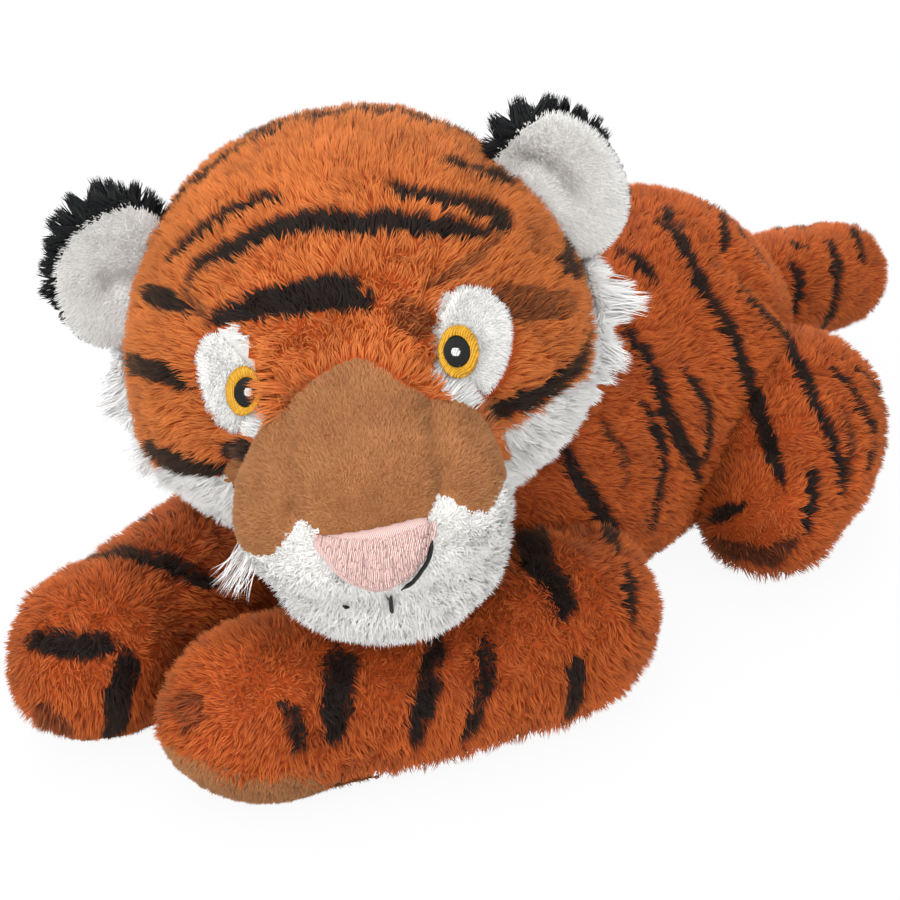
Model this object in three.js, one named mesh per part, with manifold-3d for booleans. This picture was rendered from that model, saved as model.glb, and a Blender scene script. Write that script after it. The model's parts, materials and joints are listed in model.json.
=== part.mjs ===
// A plush tiger that lies on its belly with its head turned to one side.
// Millimetres, +Z up. The tiger faces -Y and its left side is +X. Every skin is a shell of striped plush
// that is open where it is sewn to its neighbour, and every shell holds its own stuffing.
import * as THREE from "three";
import { mergeVertices } from "three/addons/utils/BufferGeometryUtils.js";
import Module from "manifold-3d";

// Cloth and seams
const skinThickness = 3;
const seamGap = 0.3;
const jointGap = 0.4;
const floorSink = 0.5;

// Torso
const torsoLength = 180;
const torsoWidth = 98;
const torsoHeight = 98;
const chestReach = 58;
const rumpShift = 9;
const pouchLength = 76;
const pouchWidth = 58;
const pouchHeight = 30;
const pouchBehind = 45;

// Neck and head
const neckDiameter = 58;
const neckInset = 8;
const neckDrop = 19;
const headWidth = 110;
const headDepth = 104;
const headHeight = 96;
const headShift = -1.5;
const headReach = 26.5;
const headRise = 28;
const headTurn = 36;
const headLean = -10.5;
const headTip = 3;
const faceLift = 12.5;

// Muzzle, nose and mouth
const bridgeLength = 62;
const bridgeWidth = 62;
const bridgeHeight = 50;
const bridgeDrop = 9;
const jawWidth = 57;
const jawDepth = 62;
const jawHeight = 46;
const chinDrop = 56;
const noseWidth = 25;
const noseHeight = 14.5;
const noseThickness = 2.2;
const noseDrop = 15;
const stitchWidth = 1.6;
const stitchLength = 5;
const stitchThickness = 1;

// Eyes
const eyeSpacing = 46;
const eyeWidth = 9.2;
const eyeHeight = 12.2;
const pupilWidth = 6.8;
const pupilHeight = 7.4;
const glintSize = 2;
const embroideryThickness = 1.2;
const glintThickness = 0.6;
const patchWidth = 18;
const patchHeight = 25;
const patchOutset = 4.5;
const patchDrop = 2;
const patchTilt = 8;

// Ears and cheek ruffs
const earHeight = 31;
const earWidth = 42;
const earThickness = 11;
const earBack = 6;
const earLift = 22;
const liningRim = 3;
const liningThickness = 2.6;
const ruffThickness = 4.5;
const ruffBand = 15;
const ruffTop = 2;
const ruffBottom = 44;
const ruffInset = 20;
const ruffSetback = 2;
const ruffEarGap = 1;

// Legs
const shoulderSpacing = 74;
const shoulderAhead = 30;
const shoulderHeight = 34;
const shoulderDiameter = 44;
const forelegLength = 96;
const forelegWidth = 47;
const forelegHeight = 47;
const soleHeight = 6;
const soleReach = 34;
const hipSpacing = 80;
const hipBehind = 84;
const hipHeight = 33;
const hipDiameter = 44;
const hindLegLength = 64;
const hindLegWidth = 60;
const hindLegHeight = 62;

// Tail
const tailLength = 78;
const tailWidth = 37;
const tailRootInset = 8;
const tailRootHeight = 43;
const tailRootShift = 8;
const tailRootDiameter = 38;

// How far each seam lets its piece move from the photographed pose, in degrees
const headTurnDegrees = [-20, 20];
const headNodDegrees = [-12, 0];
const leftForelegDegrees = [0, 35];
const leftHindLegDegrees = [0, 25];
const tailDegrees = [-20, 20];
const earDegrees = [-20, 30];
const sweepStepDegrees = 20;

// Centre line and cross sections as shares: [along, sideways, height] and [along, width, height]
const torsoSpineShares = [
  [0, 0, 0.56],
  [0.16, 0, 0.48],
  [0.42, 0, 0.478],
  [0.66, 0.15, 0.485],
  [0.84, 0.55, 0.42],
  [1, 1, 0.38],
];
const torsoSectionShares = [
  [0, 0.78, 0.74],
  [0.16, 0.82, 0.88],
  [0.42, 0.95, 0.97],
  [0.66, 1, 0.98],
  [0.84, 0.79, 0.79],
  [1, 0.5, 0.56],
];
// Leg centre lines: [sideways out, forward, height], the first two as shares of the leg's length
const leftForelegSpineShares = [
  [0.04, -0.08, 0.76],
  [0.06, 0.12, 0.54],
  [-0.02, 0.4, 0.49],
  [-0.2, 0.72, 0.49],
  [-0.53, 1.17, 0.5],
];
const rightForelegSpineShares = [
  [0.06, -0.08, 0.76],
  [0.1, 0.12, 0.56],
  [0.11, 0.42, 0.49],
  [0.1, 0.8, 0.49],
  [0.1, 1.25, 0.5],
];
const forelegSectionShares = [
  [0, 0.86, 1],
  [0.2, 1.04, 1.12],
  [0.45, 0.96, 1],
  [0.7, 0.92, 0.98],
  [0.88, 1, 1],
  [1, 0.94, 0.94],
];
const hindLegSpineShares = [
  [0, -0.18, 0.44],
  [0.12, 0.16, 0.48],
  [0.22, 0.46, 0.42],
  [0.3, 0.72, 0.33],
  [0.38, 1.04, 0.31],
];
const hindLegSectionShares = [
  [0, 0.74, 0.7],
  [0.3, 0.96, 0.96],
  [0.55, 0.9, 0.84],
  [0.78, 0.68, 0.63],
  [1, 0.66, 0.6],
];
const tailSpineShares = [
  [0, 0, 0],
  [0.05, 0.35, -0.05],
  [0.1, 0.7, -0.12],
  [0.13, 1.06, -0.2],
];
const tailSectionShares = [
  [0, 0.94, 0.94],
  [0.4, 1, 1],
  [0.8, 0.96, 0.96],
  [1, 0.88, 0.88],
];
const bridgeSpineShares = [
  [0, -0.1, 0.12],
  [0, 0.35, 0.04],
  [0, 0.7, -0.1],
  [0, 1, -0.2],
];
const bridgeSectionShares = [
  [0, 0.7, 0.9],
  [0.4, 0.9, 1],
  [0.72, 1, 0.84],
  [1, 0.8, 0.5],
];
// Corners of the nose: [sideways, upwards] as shares of its width and height
const noseCornerShares = [
  [-0.5, 0.42],
  [-0.42, 0.5],
  [0.42, 0.5],
  [0.5, 0.42],
  [0.3, -0.2],
  [0.08, -0.5],
  [-0.08, -0.5],
  [-0.3, -0.2],
];
const capShare = 0.22;
const bellyRoundShare = 0.69;
const headRoundShare = 0.889;
const plainRoundShare = 1;
const headTaperShare = 0.17;
const mouthShare = 0.3;
const bridgeRootShare = 0.2;
const jawAheadShare = 0.385;
const earSeatShare = 0.76;

// Mesh fineness
const torsoRings = 12;
const torsoAroundSteps = 16;
const limbRings = 10;
const limbAroundSteps = 10;
const coreRings = 8;
const coreAroundSteps = 10;
const headSteps = 18;
const coreHeadSteps = 12;
const coreSteps = 12;
const bridgeAroundSteps = 14;
const coreBridgeAroundSteps = 12;
const jawSteps = 16;
const ballSteps = 12;
const coreBallSteps = 10;
const outlineSteps = 7;

// Colours and finishes
const orangePlush = new THREE.MeshStandardMaterial({ color: 0xcd6226, roughness: 0.95, metalness: 0 });
const tanPlush = new THREE.MeshStandardMaterial({ color: 0xb27646, roughness: 0.95, metalness: 0 });
const whitePlush = new THREE.MeshStandardMaterial({ color: 0xe1e1de, roughness: 0.97, metalness: 0 });
const blackPlush = new THREE.MeshStandardMaterial({ color: 0x14181a, roughness: 0.95, metalness: 0 });
const pinkVelour = new THREE.MeshStandardMaterial({ color: 0xeebeb9, roughness: 0.9, metalness: 0 });
const goldThread = new THREE.MeshStandardMaterial({ color: 0xe6b428, roughness: 0.45, metalness: 0 });
const blackThread = new THREE.MeshStandardMaterial({ color: 0x101010, roughness: 0.5, metalness: 0 });
const whiteThread = new THREE.MeshStandardMaterial({ color: 0xf4f4f0, roughness: 0.5, metalness: 0 });
const stuffing = new THREE.MeshStandardMaterial({ color: 0xf0f0ee, roughness: 1, metalness: 0 });
const pouchCloth = new THREE.MeshStandardMaterial({ color: 0xd8d4c8, roughness: 0.9, metalness: 0 });

const UP = new THREE.Vector3(0, 0, 1);
const wasm = await Module();
wasm.setup();

/** A closed three.js geometry as a solid that can be joined and cut. */
function solidOf(geometry) {
  const bare = geometry.clone();
  bare.deleteAttribute("normal");
  bare.deleteAttribute("uv");
  const merged = mergeVertices(bare);
  const vertProperties = new Float32Array(merged.attributes.position.array);
  const triVerts = new Uint32Array(merged.index.array);
  return new wasm.Manifold(new wasm.Mesh({ numProp: 3, vertProperties, triVerts }));
}

/** A solid as a named mesh with its material. */
function meshOf(name, solid, material) {
  const made = solid.getMesh();
  const geometry = new THREE.BufferGeometry();
  geometry.setAttribute("position", new THREE.BufferAttribute(new Float32Array(made.vertProperties), 3));
  geometry.setIndex(new THREE.BufferAttribute(new Uint32Array(made.triVerts), 1));
  geometry.computeVertexNormals();
  const mesh = new THREE.Mesh(geometry, material.clone());
  mesh.name = name;
  return mesh;
}

/** The largest separate body of a solid: a cut can leave crumbs beside it. */
function mainBody(solid) {
  return solid.decompose().reduce((best, body) => (body.volume() > best.volume() ? body : best));
}

/** A geometry moved by a matrix, as a solid. */
function placed(geometry, matrix) {
  return solidOf(geometry.clone().applyMatrix4(matrix));
}

/** A ball that sits in a cup of its neighbour, so that a seam can flex about its centre. */
function ball(radius, centre = new THREE.Vector3(), steps = ballSteps) {
  const geometry = new THREE.SphereGeometry(radius, steps, steps / 2);
  return solidOf(geometry.rotateX(Math.PI / 2).translate(centre.x, centre.y, centre.z));
}

/** A cup for such a ball: its flats, and not only its corners, leave the ball its gap as it turns. */
function cup(ballRadius, centre, steps = ballSteps) {
  return ball((ballRadius + jointGap) / Math.cos(Math.PI / steps) ** 2, centre, steps);
}

/** A value of a table of shares at a place along it, eased between its rows. */
function shareAt(rows, along, column) {
  const next = Math.max(1, rows.findIndex((row) => row[0] >= along));
  const [from, to] = [rows[next - 1], rows[next]];
  const part = (along - from[0]) / (to[0] - from[0]);
  const eased = (1 - Math.cos(Math.PI * Math.min(1, Math.max(0, part)))) / 2;
  return from[column] + (to[column] - from[column]) * eased;
}

/** A point of a section's unit outline, from its lowest: round above, and as round as roundShare below. */
function sectionPoint(turn, roundShare) {
  const angle = turn - Math.PI / 2;
  const power = Math.sin(angle) < 0 ? roundShare : 1;
  const bent = (part) => Math.sign(part) * Math.abs(part) ** power;
  return [bent(Math.cos(angle)), bent(Math.sin(angle))];
}

/**
 * A stuffed form that swells and tapers along a centre line, round at both ends.
 * swell moves its whole surface outwards, or inwards when negative.
 */
function softForm(size, swell, rings, around) {
  const { spine, width, height, sectionShares, roundShare = plainRoundShare } = size;
  const curve = new THREE.CatmullRomCurve3(spine, false, "centripetal");
  const positions = [];
  const index = [];
  for (let ring = 0; ring <= rings; ring += 1) {
    const along = (1 - Math.cos((Math.PI * ring) / rings)) / 2;
    const tangent = curve.getTangentAt(along);
    const centre = curve.getPointAt(along).addScaledVector(tangent, swell * (2 * along - 1));
    const side = new THREE.Vector3().crossVectors(tangent, UP).normalize();
    const top = new THREE.Vector3().crossVectors(side, tangent);
    const toEnd = Math.min(1, Math.min(along, 1 - along) / capShare);
    const round = Math.sqrt(1 - (1 - toEnd) ** 2);
    const halfWidth = ((width / 2) * shareAt(sectionShares, along, 1) + swell) * round;
    const halfHeight = ((height / 2) * shareAt(sectionShares, along, 2) + swell) * round;
    const pole = ring === 0 || ring === rings;
    for (let step = 0; step < (pole ? 1 : around); step += 1) {
      const [across, upwards] = sectionPoint((2 * Math.PI * step) / around, roundShare);
      const point = centre.clone();
      if (!pole) {
        point.addScaledVector(side, halfWidth * across);
        point.addScaledVector(top, halfHeight * upwards);
      }
      positions.push(point.x, point.y, point.z);
    }
  }
  const last = 1 + (rings - 1) * around;
  const at = (ring, step) => 1 + (ring - 1) * around + (step % around);
  for (let step = 0; step < around; step += 1) {
    index.push(0, at(1, step), at(1, step + 1));
    for (let ring = 1; ring < rings - 1; ring += 1) {
      index.push(at(ring, step), at(ring + 1, step + 1), at(ring, step + 1));
      index.push(at(ring, step), at(ring + 1, step), at(ring + 1, step + 1));
    }
    index.push(last, at(rings - 1, step + 1), at(rings - 1, step));
  }
  const geometry = new THREE.BufferGeometry();
  geometry.setAttribute("position", new THREE.Float32BufferAttribute(positions, 3));
  geometry.setIndex(index);
  return geometry;
}

/** A rounded block: a ball stretched to three half sizes, squared a little and narrower at its top. */
function roundedBlock(halfSizes, roundShare, steps, taperShare = 0) {
  const geometry = new THREE.SphereGeometry(1, steps, Math.round((steps * 2) / 3)).rotateX(Math.PI / 2);
  const place = geometry.attributes.position;
  const point = new THREE.Vector3();
  for (let vertex = 0; vertex < place.count; vertex += 1) {
    point.fromBufferAttribute(place, vertex);
    const parts = [point.x, point.y, point.z].map((part) => Math.abs(part) ** (2 / roundShare));
    point.divideScalar((parts[0] + parts[1] + parts[2]) ** (roundShare / 2));
    point.x *= 1 - taperShare * point.z;
    point.multiply(halfSizes);
    place.setXYZ(vertex, point.x, point.y, point.z);
  }
  return geometry;
}

/** A block with two opposite corners given. */
function block(low, high) {
  const size = new THREE.Vector3().subVectors(high, low);
  const middle = new THREE.Vector3().addVectors(low, high).multiplyScalar(1 / 2);
  return solidOf(new THREE.BoxGeometry(size.x, size.y, size.z).translate(middle.x, middle.y, middle.z));
}

/** A flat outline in the face's own plane, carried straight forwards from a place inside the head. */
function facePrism(shape, from) {
  const geometry = new THREE.ExtrudeGeometry(shape, {
    depth: headDepth,
    bevelEnabled: false,
    curveSegments: outlineSteps,
  });
  return solidOf(geometry.rotateX(Math.PI / 2).translate(0, -from, 0));
}

/** An oval outline, [sideways, upwards] from the middle of the face. */
function oval(sideways, upwards, width, height, tilt) {
  const shape = new THREE.Shape();
  const turn = THREE.MathUtils.degToRad(tilt);
  shape.absellipse(sideways, upwards, width / 2, height / 2, 0, 2 * Math.PI, false, turn);
  return shape;
}

/** The angles from one limit to the other at which a sweep is cut. */
function sweepAngles([low, high]) {
  const steps = Math.max(1, Math.ceil((high - low) / sweepStepDegrees));
  return Array.from({ length: steps + 1 }, (_, step) => low + ((high - low) * step) / steps);
}

/** Everything under the floor, as seen from a pivot: it cuts the flat on which a form rests. */
function placedFloor(pivot) {
  const reach = 2 * torsoLength;
  return block(
    new THREE.Vector3(-reach, -reach, -reach).sub(pivot),
    new THREE.Vector3(reach, reach, 0).sub(pivot),
  );
}

// Places of the seams about which the pieces move
const neck = new THREE.Vector3(0, neckInset - chestReach, torsoHeight - neckDrop);
const headCentre = new THREE.Vector3(headShift, -headReach, headRise).add(neck);
const tailRoot = new THREE.Vector3(tailRootShift, torsoLength - chestReach - tailRootInset, tailRootHeight);
const shoulderOf = (side) => new THREE.Vector3((side * shoulderSpacing) / 2, -shoulderAhead, shoulderHeight);
const hipOf = (side) => new THREE.Vector3((side * hipSpacing) / 2, hipBehind, hipHeight);
const degrees = THREE.MathUtils.degToRad;
const headEuler = new THREE.Euler(degrees(headTip), degrees(headLean), degrees(headTurn), "ZYX");
const headMatrix = new THREE.Matrix4().makeRotationFromEuler(headEuler).setPosition(headCentre);
const headAcross = new THREE.Vector3(Math.cos(degrees(headTurn)), Math.sin(degrees(headTurn)), 0);

/** The torso's whole form. */
function torsoForm(swell, rings, around) {
  const spine = torsoSpineShares.map(
    ([along, sideways, height]) =>
      new THREE.Vector3(
        rumpShift * sideways,
        torsoLength * along - chestReach,
        torsoHeight * height - floorSink,
      ),
  );
  const size = { width: torsoWidth, height: torsoHeight, roundShare: bellyRoundShare };
  return softForm({ spine, sectionShares: torsoSectionShares, ...size }, swell, rings, around);
}

/** The head's own form without its muzzle, centred on the head. */
function headForm(swell, steps) {
  const half = new THREE.Vector3(headWidth, headDepth, headHeight).multiplyScalar(1 / 2).addScalar(swell);
  return roundedBlock(half, headRoundShare, steps, headTaperShare);
}

/** The head at an angle of its turn and its nod, as seen from the torso. */
function headAt(turn, nod, swell) {
  const matrix = new THREE.Matrix4().makeTranslation(neck.x, neck.y, neck.z);
  matrix.multiply(new THREE.Matrix4().makeRotationZ(degrees(turn)));
  matrix.multiply(new THREE.Matrix4().makeRotationAxis(headAcross, degrees(nod)));
  matrix.multiply(new THREE.Matrix4().makeTranslation(-neck.x, -neck.y, -neck.z));
  return placed(headForm(swell, headSteps), matrix.multiply(headMatrix));
}

/** The space that the head sweeps through as it turns and nods. */
function headSweep(swell) {
  const poses = sweepAngles(headTurnDegrees).flatMap((turn) => headNodDegrees.map((nod) => [turn, nod]));
  return poses.map(([turn, nod]) => headAt(turn, nod, swell)).reduce((sum, next) => sum.add(next));
}

/** The cups in which the neck, the legs and the tail sit. */
function torsoCups(steps) {
  const cups = [
    cup(neckDiameter / 2, neck, steps),
    cup(tailRootDiameter / 2, tailRoot, steps),
    ...[1, -1].map((side) => cup(shoulderDiameter / 2, shoulderOf(side), steps)),
    ...[1, -1].map((side) => cup(hipDiameter / 2, hipOf(side), steps)),
  ];
  return cups.reduce((sum, next) => sum.add(next));
}

/** A form's fine outside and its coarse inside, from which a skin and its stuffing are made. */
function layersOf(form, rings, around) {
  return {
    outer: solidOf(form(0, rings, around)),
    inner: solidOf(form(-skinThickness, coreRings, coreAroundSteps)),
    core: solidOf(form(-skinThickness - seamGap, coreRings, coreAroundSteps)),
  };
}

/** The torso's skin, its stuffing and the pouch of pellets that weighs its belly down. */
function torso() {
  const group = new THREE.Group();
  const headRoom = headSweep(seamGap + ruffThickness + jointGap);
  const { outer, inner, core } = layersOf(torsoForm, torsoRings, torsoAroundSteps);
  const skin = outer.subtract(inner).subtract(torsoCups(ballSteps)).subtract(headRoom);
  const floor = placedFloor(new THREE.Vector3());
  group.add(meshOf("torso_skin", mainBody(skin.subtract(floor)), orangePlush));

  const half = new THREE.Vector3(pouchWidth, pouchLength, pouchHeight).multiplyScalar(1 / 2);
  const pouchCentre = new THREE.Matrix4().makeTranslation(0, pouchBehind, skinThickness + pouchHeight / 2);
  const pouchForm = (swell) =>
    placed(roundedBlock(half.clone().addScalar(swell), plainRoundShare, coreSteps), pouchCentre);
  const pouch = pouchForm(0).intersect(core).subtract(torsoCups(coreBallSteps));
  group.add(meshOf("pellet_pouch", mainBody(pouch), pouchCloth));
  const filling = core.subtract(torsoCups(coreBallSteps)).subtract(headRoom).subtract(pouchForm(seamGap));
  group.add(meshOf("torso_stuffing", mainBody(filling), stuffing));
  return group;
}

/** What a limb has to leave free of the torso as it swings, as seen from the limb. */
function torsoSweep(pivot, angles, swell, rings, around) {
  return angles
    .map((angle) => {
      const matrix = new THREE.Matrix4().makeRotationZ(-degrees(angle));
      matrix.multiply(new THREE.Matrix4().makeTranslation(-pivot.x, -pivot.y, -pivot.z));
      return placed(torsoForm(swell, rings, around), matrix);
    })
    .reduce((sum, next) => sum.add(next));
}

/**
 * A limb that swings about an upright line through its pivot: its skin and its stuffing.
 * The skin is open inside the torso's cup, where the limb is sewn on and was filled.
 */
function limb({ name, pivot, rootDiameter, range, inwards, form }) {
  const group = new THREE.Group();
  group.position.copy(pivot);
  const outerFree = torsoSweep(pivot, sweepAngles(range), jointGap, torsoRings, torsoAroundSteps);
  const shaft = mainBody(solidOf(form(0, limbRings, limbAroundSteps)).subtract(outerFree));
  const layer = (swell) => {
    const free = torsoSweep(pivot, range, jointGap - swell, coreRings, coreAroundSteps);
    const inside = mainBody(solidOf(form(swell, coreRings, coreAroundSteps)).subtract(free));
    return inside.add(ball(rootDiameter / 2 + swell, new THREE.Vector3(), coreBallSteps));
  };
  const mouth = ball(rootDiameter * mouthShare, inwards.clone().multiplyScalar(rootDiameter / 2));
  const whole = shaft.add(ball(rootDiameter / 2)).subtract(placedFloor(pivot));
  const skin = whole.subtract(layer(-skinThickness)).subtract(mouth);
  group.userData.skin = mainBody(skin);
  group.add(meshOf(`${name}_stuffing`, mainBody(layer(-skinThickness - seamGap)), stuffing));
  return group;
}

/** A leg's form from its table, resting on the floor. */
function legForm(side, pivot, size, spineShares, sectionShares) {
  const spine = spineShares.map(
    ([out, forward, height]) =>
      new THREE.Vector3(
        side * size.length * out,
        -size.length * forward,
        size.height * height - floorSink - pivot.z,
      ),
  );
  const shape = { spine, width: size.width, height: size.height, sectionShares };
  return (swell, rings, around) => softForm(shape, swell, rings, around);
}

/** A foreleg with a short-pile sole under its paw. */
function foreleg(side) {
  const name = side > 0 ? "foreleg_left" : "foreleg_right";
  const range = side > 0 ? leftForelegDegrees : [-leftForelegDegrees[1], -leftForelegDegrees[0]];
  const spineShares = side > 0 ? leftForelegSpineShares : rightForelegSpineShares;
  const size = { length: forelegLength, width: forelegWidth, height: forelegHeight };
  const pivot = shoulderOf(side);
  const form = legForm(side, pivot, size, spineShares, forelegSectionShares);
  const inwards = new THREE.Vector3(-side, 0, 0);
  const group = limb({ name, pivot, rootDiameter: shoulderDiameter, range, inwards, form });
  const [out, forward] = spineShares.at(-1);
  const paw = new THREE.Vector3(side * out * size.length, -forward * size.length, -pivot.z);
  const soleBlock = (room) =>
    block(
      new THREE.Vector3(paw.x - forelegWidth, paw.y - forelegWidth, -2 * pivot.z),
      new THREE.Vector3(paw.x + forelegWidth, paw.y + soleReach + room, soleHeight + room - pivot.z),
    );
  const { skin } = group.userData;
  group.add(meshOf(`${name}_sole`, mainBody(skin.intersect(soleBlock(0))), tanPlush));
  group.add(meshOf(`${name}_skin`, mainBody(skin.subtract(soleBlock(seamGap))), orangePlush));
  return group;
}

/** A hind leg, folded beside the belly with its paw forwards. */
function hindLeg(side) {
  const name = side > 0 ? "hind_leg_left" : "hind_leg_right";
  const range = side > 0 ? leftHindLegDegrees : [-leftHindLegDegrees[1], -leftHindLegDegrees[0]];
  const size = { length: hindLegLength, width: hindLegWidth, height: hindLegHeight };
  const pivot = hipOf(side);
  const form = legForm(side, pivot, size, hindLegSpineShares, hindLegSectionShares);
  const inwards = new THREE.Vector3(-side, 0, 0);
  const group = limb({ name, pivot, rootDiameter: hipDiameter, range, inwards, form });
  group.add(meshOf(`${name}_skin`, group.userData.skin, orangePlush));
  return group;
}

/** The short blunt tail. */
function tail() {
  const spine = tailSpineShares.map(([sideways, back, height]) =>
    new THREE.Vector3(sideways, back, height).multiplyScalar(tailLength),
  );
  const shape = { spine, width: tailWidth, height: tailWidth, sectionShares: tailSectionShares };
  const form = (swell, rings, around) => softForm(shape, swell, rings, around);
  const group = limb({
    name: "tail",
    pivot: tailRoot,
    rootDiameter: tailRootDiameter,
    range: tailDegrees,
    inwards: new THREE.Vector3(0, -1, 0),
    form,
  });
  group.add(meshOf("tail_skin", group.userData.skin, orangePlush));
  return group;
}

/** The muzzle's upper form, from between the eyes to the nose. */
function bridgeForm(swell, rings, around) {
  const spine = bridgeSpineShares.map(
    ([sideways, forward, height]) =>
      new THREE.Vector3(
        sideways * bridgeWidth,
        -bridgeRootShare * headDepth - forward * bridgeLength,
        height * bridgeHeight - bridgeDrop,
      ),
  );
  const shape = { spine, width: bridgeWidth, height: bridgeHeight, sectionShares: bridgeSectionShares };
  return softForm(shape, swell, rings, around);
}

/** The muzzle's lower form: the lips and the chin. */
function jawForm(swell, steps) {
  const half = new THREE.Vector3(jawWidth, jawDepth, jawHeight).multiplyScalar(1 / 2).addScalar(swell);
  const centre = new THREE.Vector3(0, -jawAheadShare * headDepth, jawHeight / 2 - chinDrop);
  return roundedBlock(half, headRoundShare, steps).translate(centre.x, centre.y, centre.z);
}

/** Everything of the muzzle in front of the head, moved outwards by swell. */
function muzzleForm(swell) {
  return solidOf(bridgeForm(swell, coreRings, coreBridgeAroundSteps)).add(solidOf(jawForm(swell, coreSteps)));
}

/** The same with the fineness of the muzzle's skins. */
function fineMuzzle(swell) {
  return solidOf(bridgeForm(swell, limbRings, bridgeAroundSteps)).add(solidOf(jawForm(swell, jawSteps)));
}

/** A flat outline laid on a form as a thin pad: between the form and the same form moved outwards. */
function padOn(form, shape, thickness, from) {
  return form(seamGap + thickness).subtract(form(seamGap)).intersect(facePrism(shape, from));
}

/** The nose's rounded triangle. */
function noseOutline() {
  const corners = noseCornerShares.map(
    ([sideways, upwards]) => new THREE.Vector2(sideways * noseWidth, upwards * noseHeight - noseDrop),
  );
  return new THREE.Shape(corners);
}

/** The stitched line that goes down from the nose. */
function stitchOutline() {
  const top = -noseDrop - noseHeight / 2 - seamGap;
  const shape = new THREE.Shape();
  shape.moveTo(-stitchWidth / 2, top);
  shape.lineTo(-stitchWidth / 2, top - stitchLength);
  shape.lineTo(stitchWidth / 2, top - stitchLength);
  shape.lineTo(stitchWidth / 2, top);
  shape.closePath();
  return shape;
}

/** One eye: a white patch let into the head, and the embroidered ring, pupil and glint on it. */
function eye(side, name, skinWall) {
  const across = (side * eyeSpacing) / 2;
  const patchAcross = across + side * patchOutset;
  const patch = (room) => {
    const tilt = -side * patchTilt;
    const height = patchHeight + 2 * room;
    return facePrism(oval(patchAcross, faceLift - patchDrop, patchWidth + 2 * room, height, tilt), 0);
  };
  const onHead = (swell) => solidOf(headForm(swell, headSteps));
  const ring = padOn(onHead, oval(across, faceLift, eyeWidth, eyeHeight, 0), embroideryThickness, 0);
  const hole = facePrism(oval(across, faceLift, pupilWidth + 2 * seamGap, pupilHeight + 2 * seamGap, 0), 0);
  const pupil = padOn(onHead, oval(across, faceLift, pupilWidth, pupilHeight, 0), embroideryThickness, 0);
  const overPupil = (swell) => onHead(swell + embroideryThickness + seamGap);
  const glintShape = oval(across, faceLift, glintSize, glintSize, 0);
  const free = fineMuzzle(seamGap);
  return {
    hole: patch(seamGap),
    meshes: [
      meshOf(`eye_patch_${name}`, mainBody(skinWall.intersect(patch(0)).subtract(free)), whitePlush),
      meshOf(`eye_ring_${name}`, mainBody(ring.subtract(hole).subtract(free)), goldThread),
      meshOf(`pupil_${name}`, mainBody(pupil.subtract(free)), blackThread),
      meshOf(`eye_glint_${name}`, mainBody(padOn(overPupil, glintShape, glintThickness, 0)), whiteThread),
    ],
  };
}

/** Where one ear is sewn on: outwards from the head, backwards, and along the seam. */
function earFrame(side) {
  const lift = Math.asin(earLift / Math.hypot(earLift, headWidth / 2));
  const radial = new THREE.Vector3(side * Math.cos(lift), 0, Math.sin(lift));
  const base = new THREE.Vector3(0, earBack, 0).addScaledVector(radial, (headWidth / 2) * earSeatShare);
  const away = new THREE.Vector3(0, 1, 0);
  const along = new THREE.Vector3().crossVectors(radial, away);
  return new THREE.Matrix4().makeBasis(radial, away, along).setPosition(base);
}

/** An ear's rounded disc, in the ear's frame. */
function earDisc(swell, forward) {
  const half = new THREE.Vector3(earHeight, earThickness, earWidth).multiplyScalar(1 / 2).addScalar(swell);
  return roundedBlock(half, plainRoundShare, coreSteps).translate(earHeight / 2, -forward, 0);
}

/** One ear, made of a black outer and a white lining, which folds about the line where it is sewn on. */
function ear(side, name) {
  const group = new THREE.Group();
  const frame = earFrame(side);
  group.applyMatrix4(frame);
  const free = sweepAngles(earDegrees)
    .map((angle) => {
      const matrix = new THREE.Matrix4().makeRotationZ(-degrees(angle)).multiply(frame.clone().invert());
      return placed(headForm(seamGap, headSteps), matrix);
    })
    .reduce((sum, next) => sum.add(next));
  const dish = solidOf(earDisc(-liningRim, earThickness / 2));
  const outer = solidOf(earDisc(0, 0)).subtract(dish).subtract(free);
  const lining = solidOf(earDisc(-liningRim - seamGap, earThickness / 2))
    .subtract(solidOf(earDisc(-liningRim - seamGap, earThickness / 2 + liningThickness)))
    .subtract(free);
  group.add(meshOf(`ear_back_${name}`, mainBody(outer), blackPlush));
  group.add(meshOf(`ear_lining_${name}`, mainBody(lining), whitePlush));
  return group;
}

/** A tuft of long white pile that is sewn in along one cheek, under the ear's fold. */
function cheekRuff(side, name, neckCup) {
  const reach = headWidth;
  const low = new THREE.Vector3(side > 0 ? ruffInset : -reach, ruffSetback, -ruffBottom);
  const high = new THREE.Vector3(side > 0 ? reach : -ruffInset, ruffSetback + ruffBand, ruffTop);
  const shell = solidOf(headForm(seamGap + ruffThickness, headSteps)).subtract(
    solidOf(headForm(seamGap, headSteps)),
  );
  const earSweep = sweepAngles(earDegrees)
    .map((angle) => earFrame(side).multiply(new THREE.Matrix4().makeRotationZ(degrees(angle))))
    .map((matrix) => placed(earDisc(ruffEarGap, 0), matrix))
    .reduce((sum, next) => sum.add(next));
  const tuft = shell.intersect(block(low, high)).subtract(neckCup).subtract(earSweep);
  return meshOf(`cheek_ruff_${name}`, mainBody(tuft), whitePlush);
}

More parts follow.
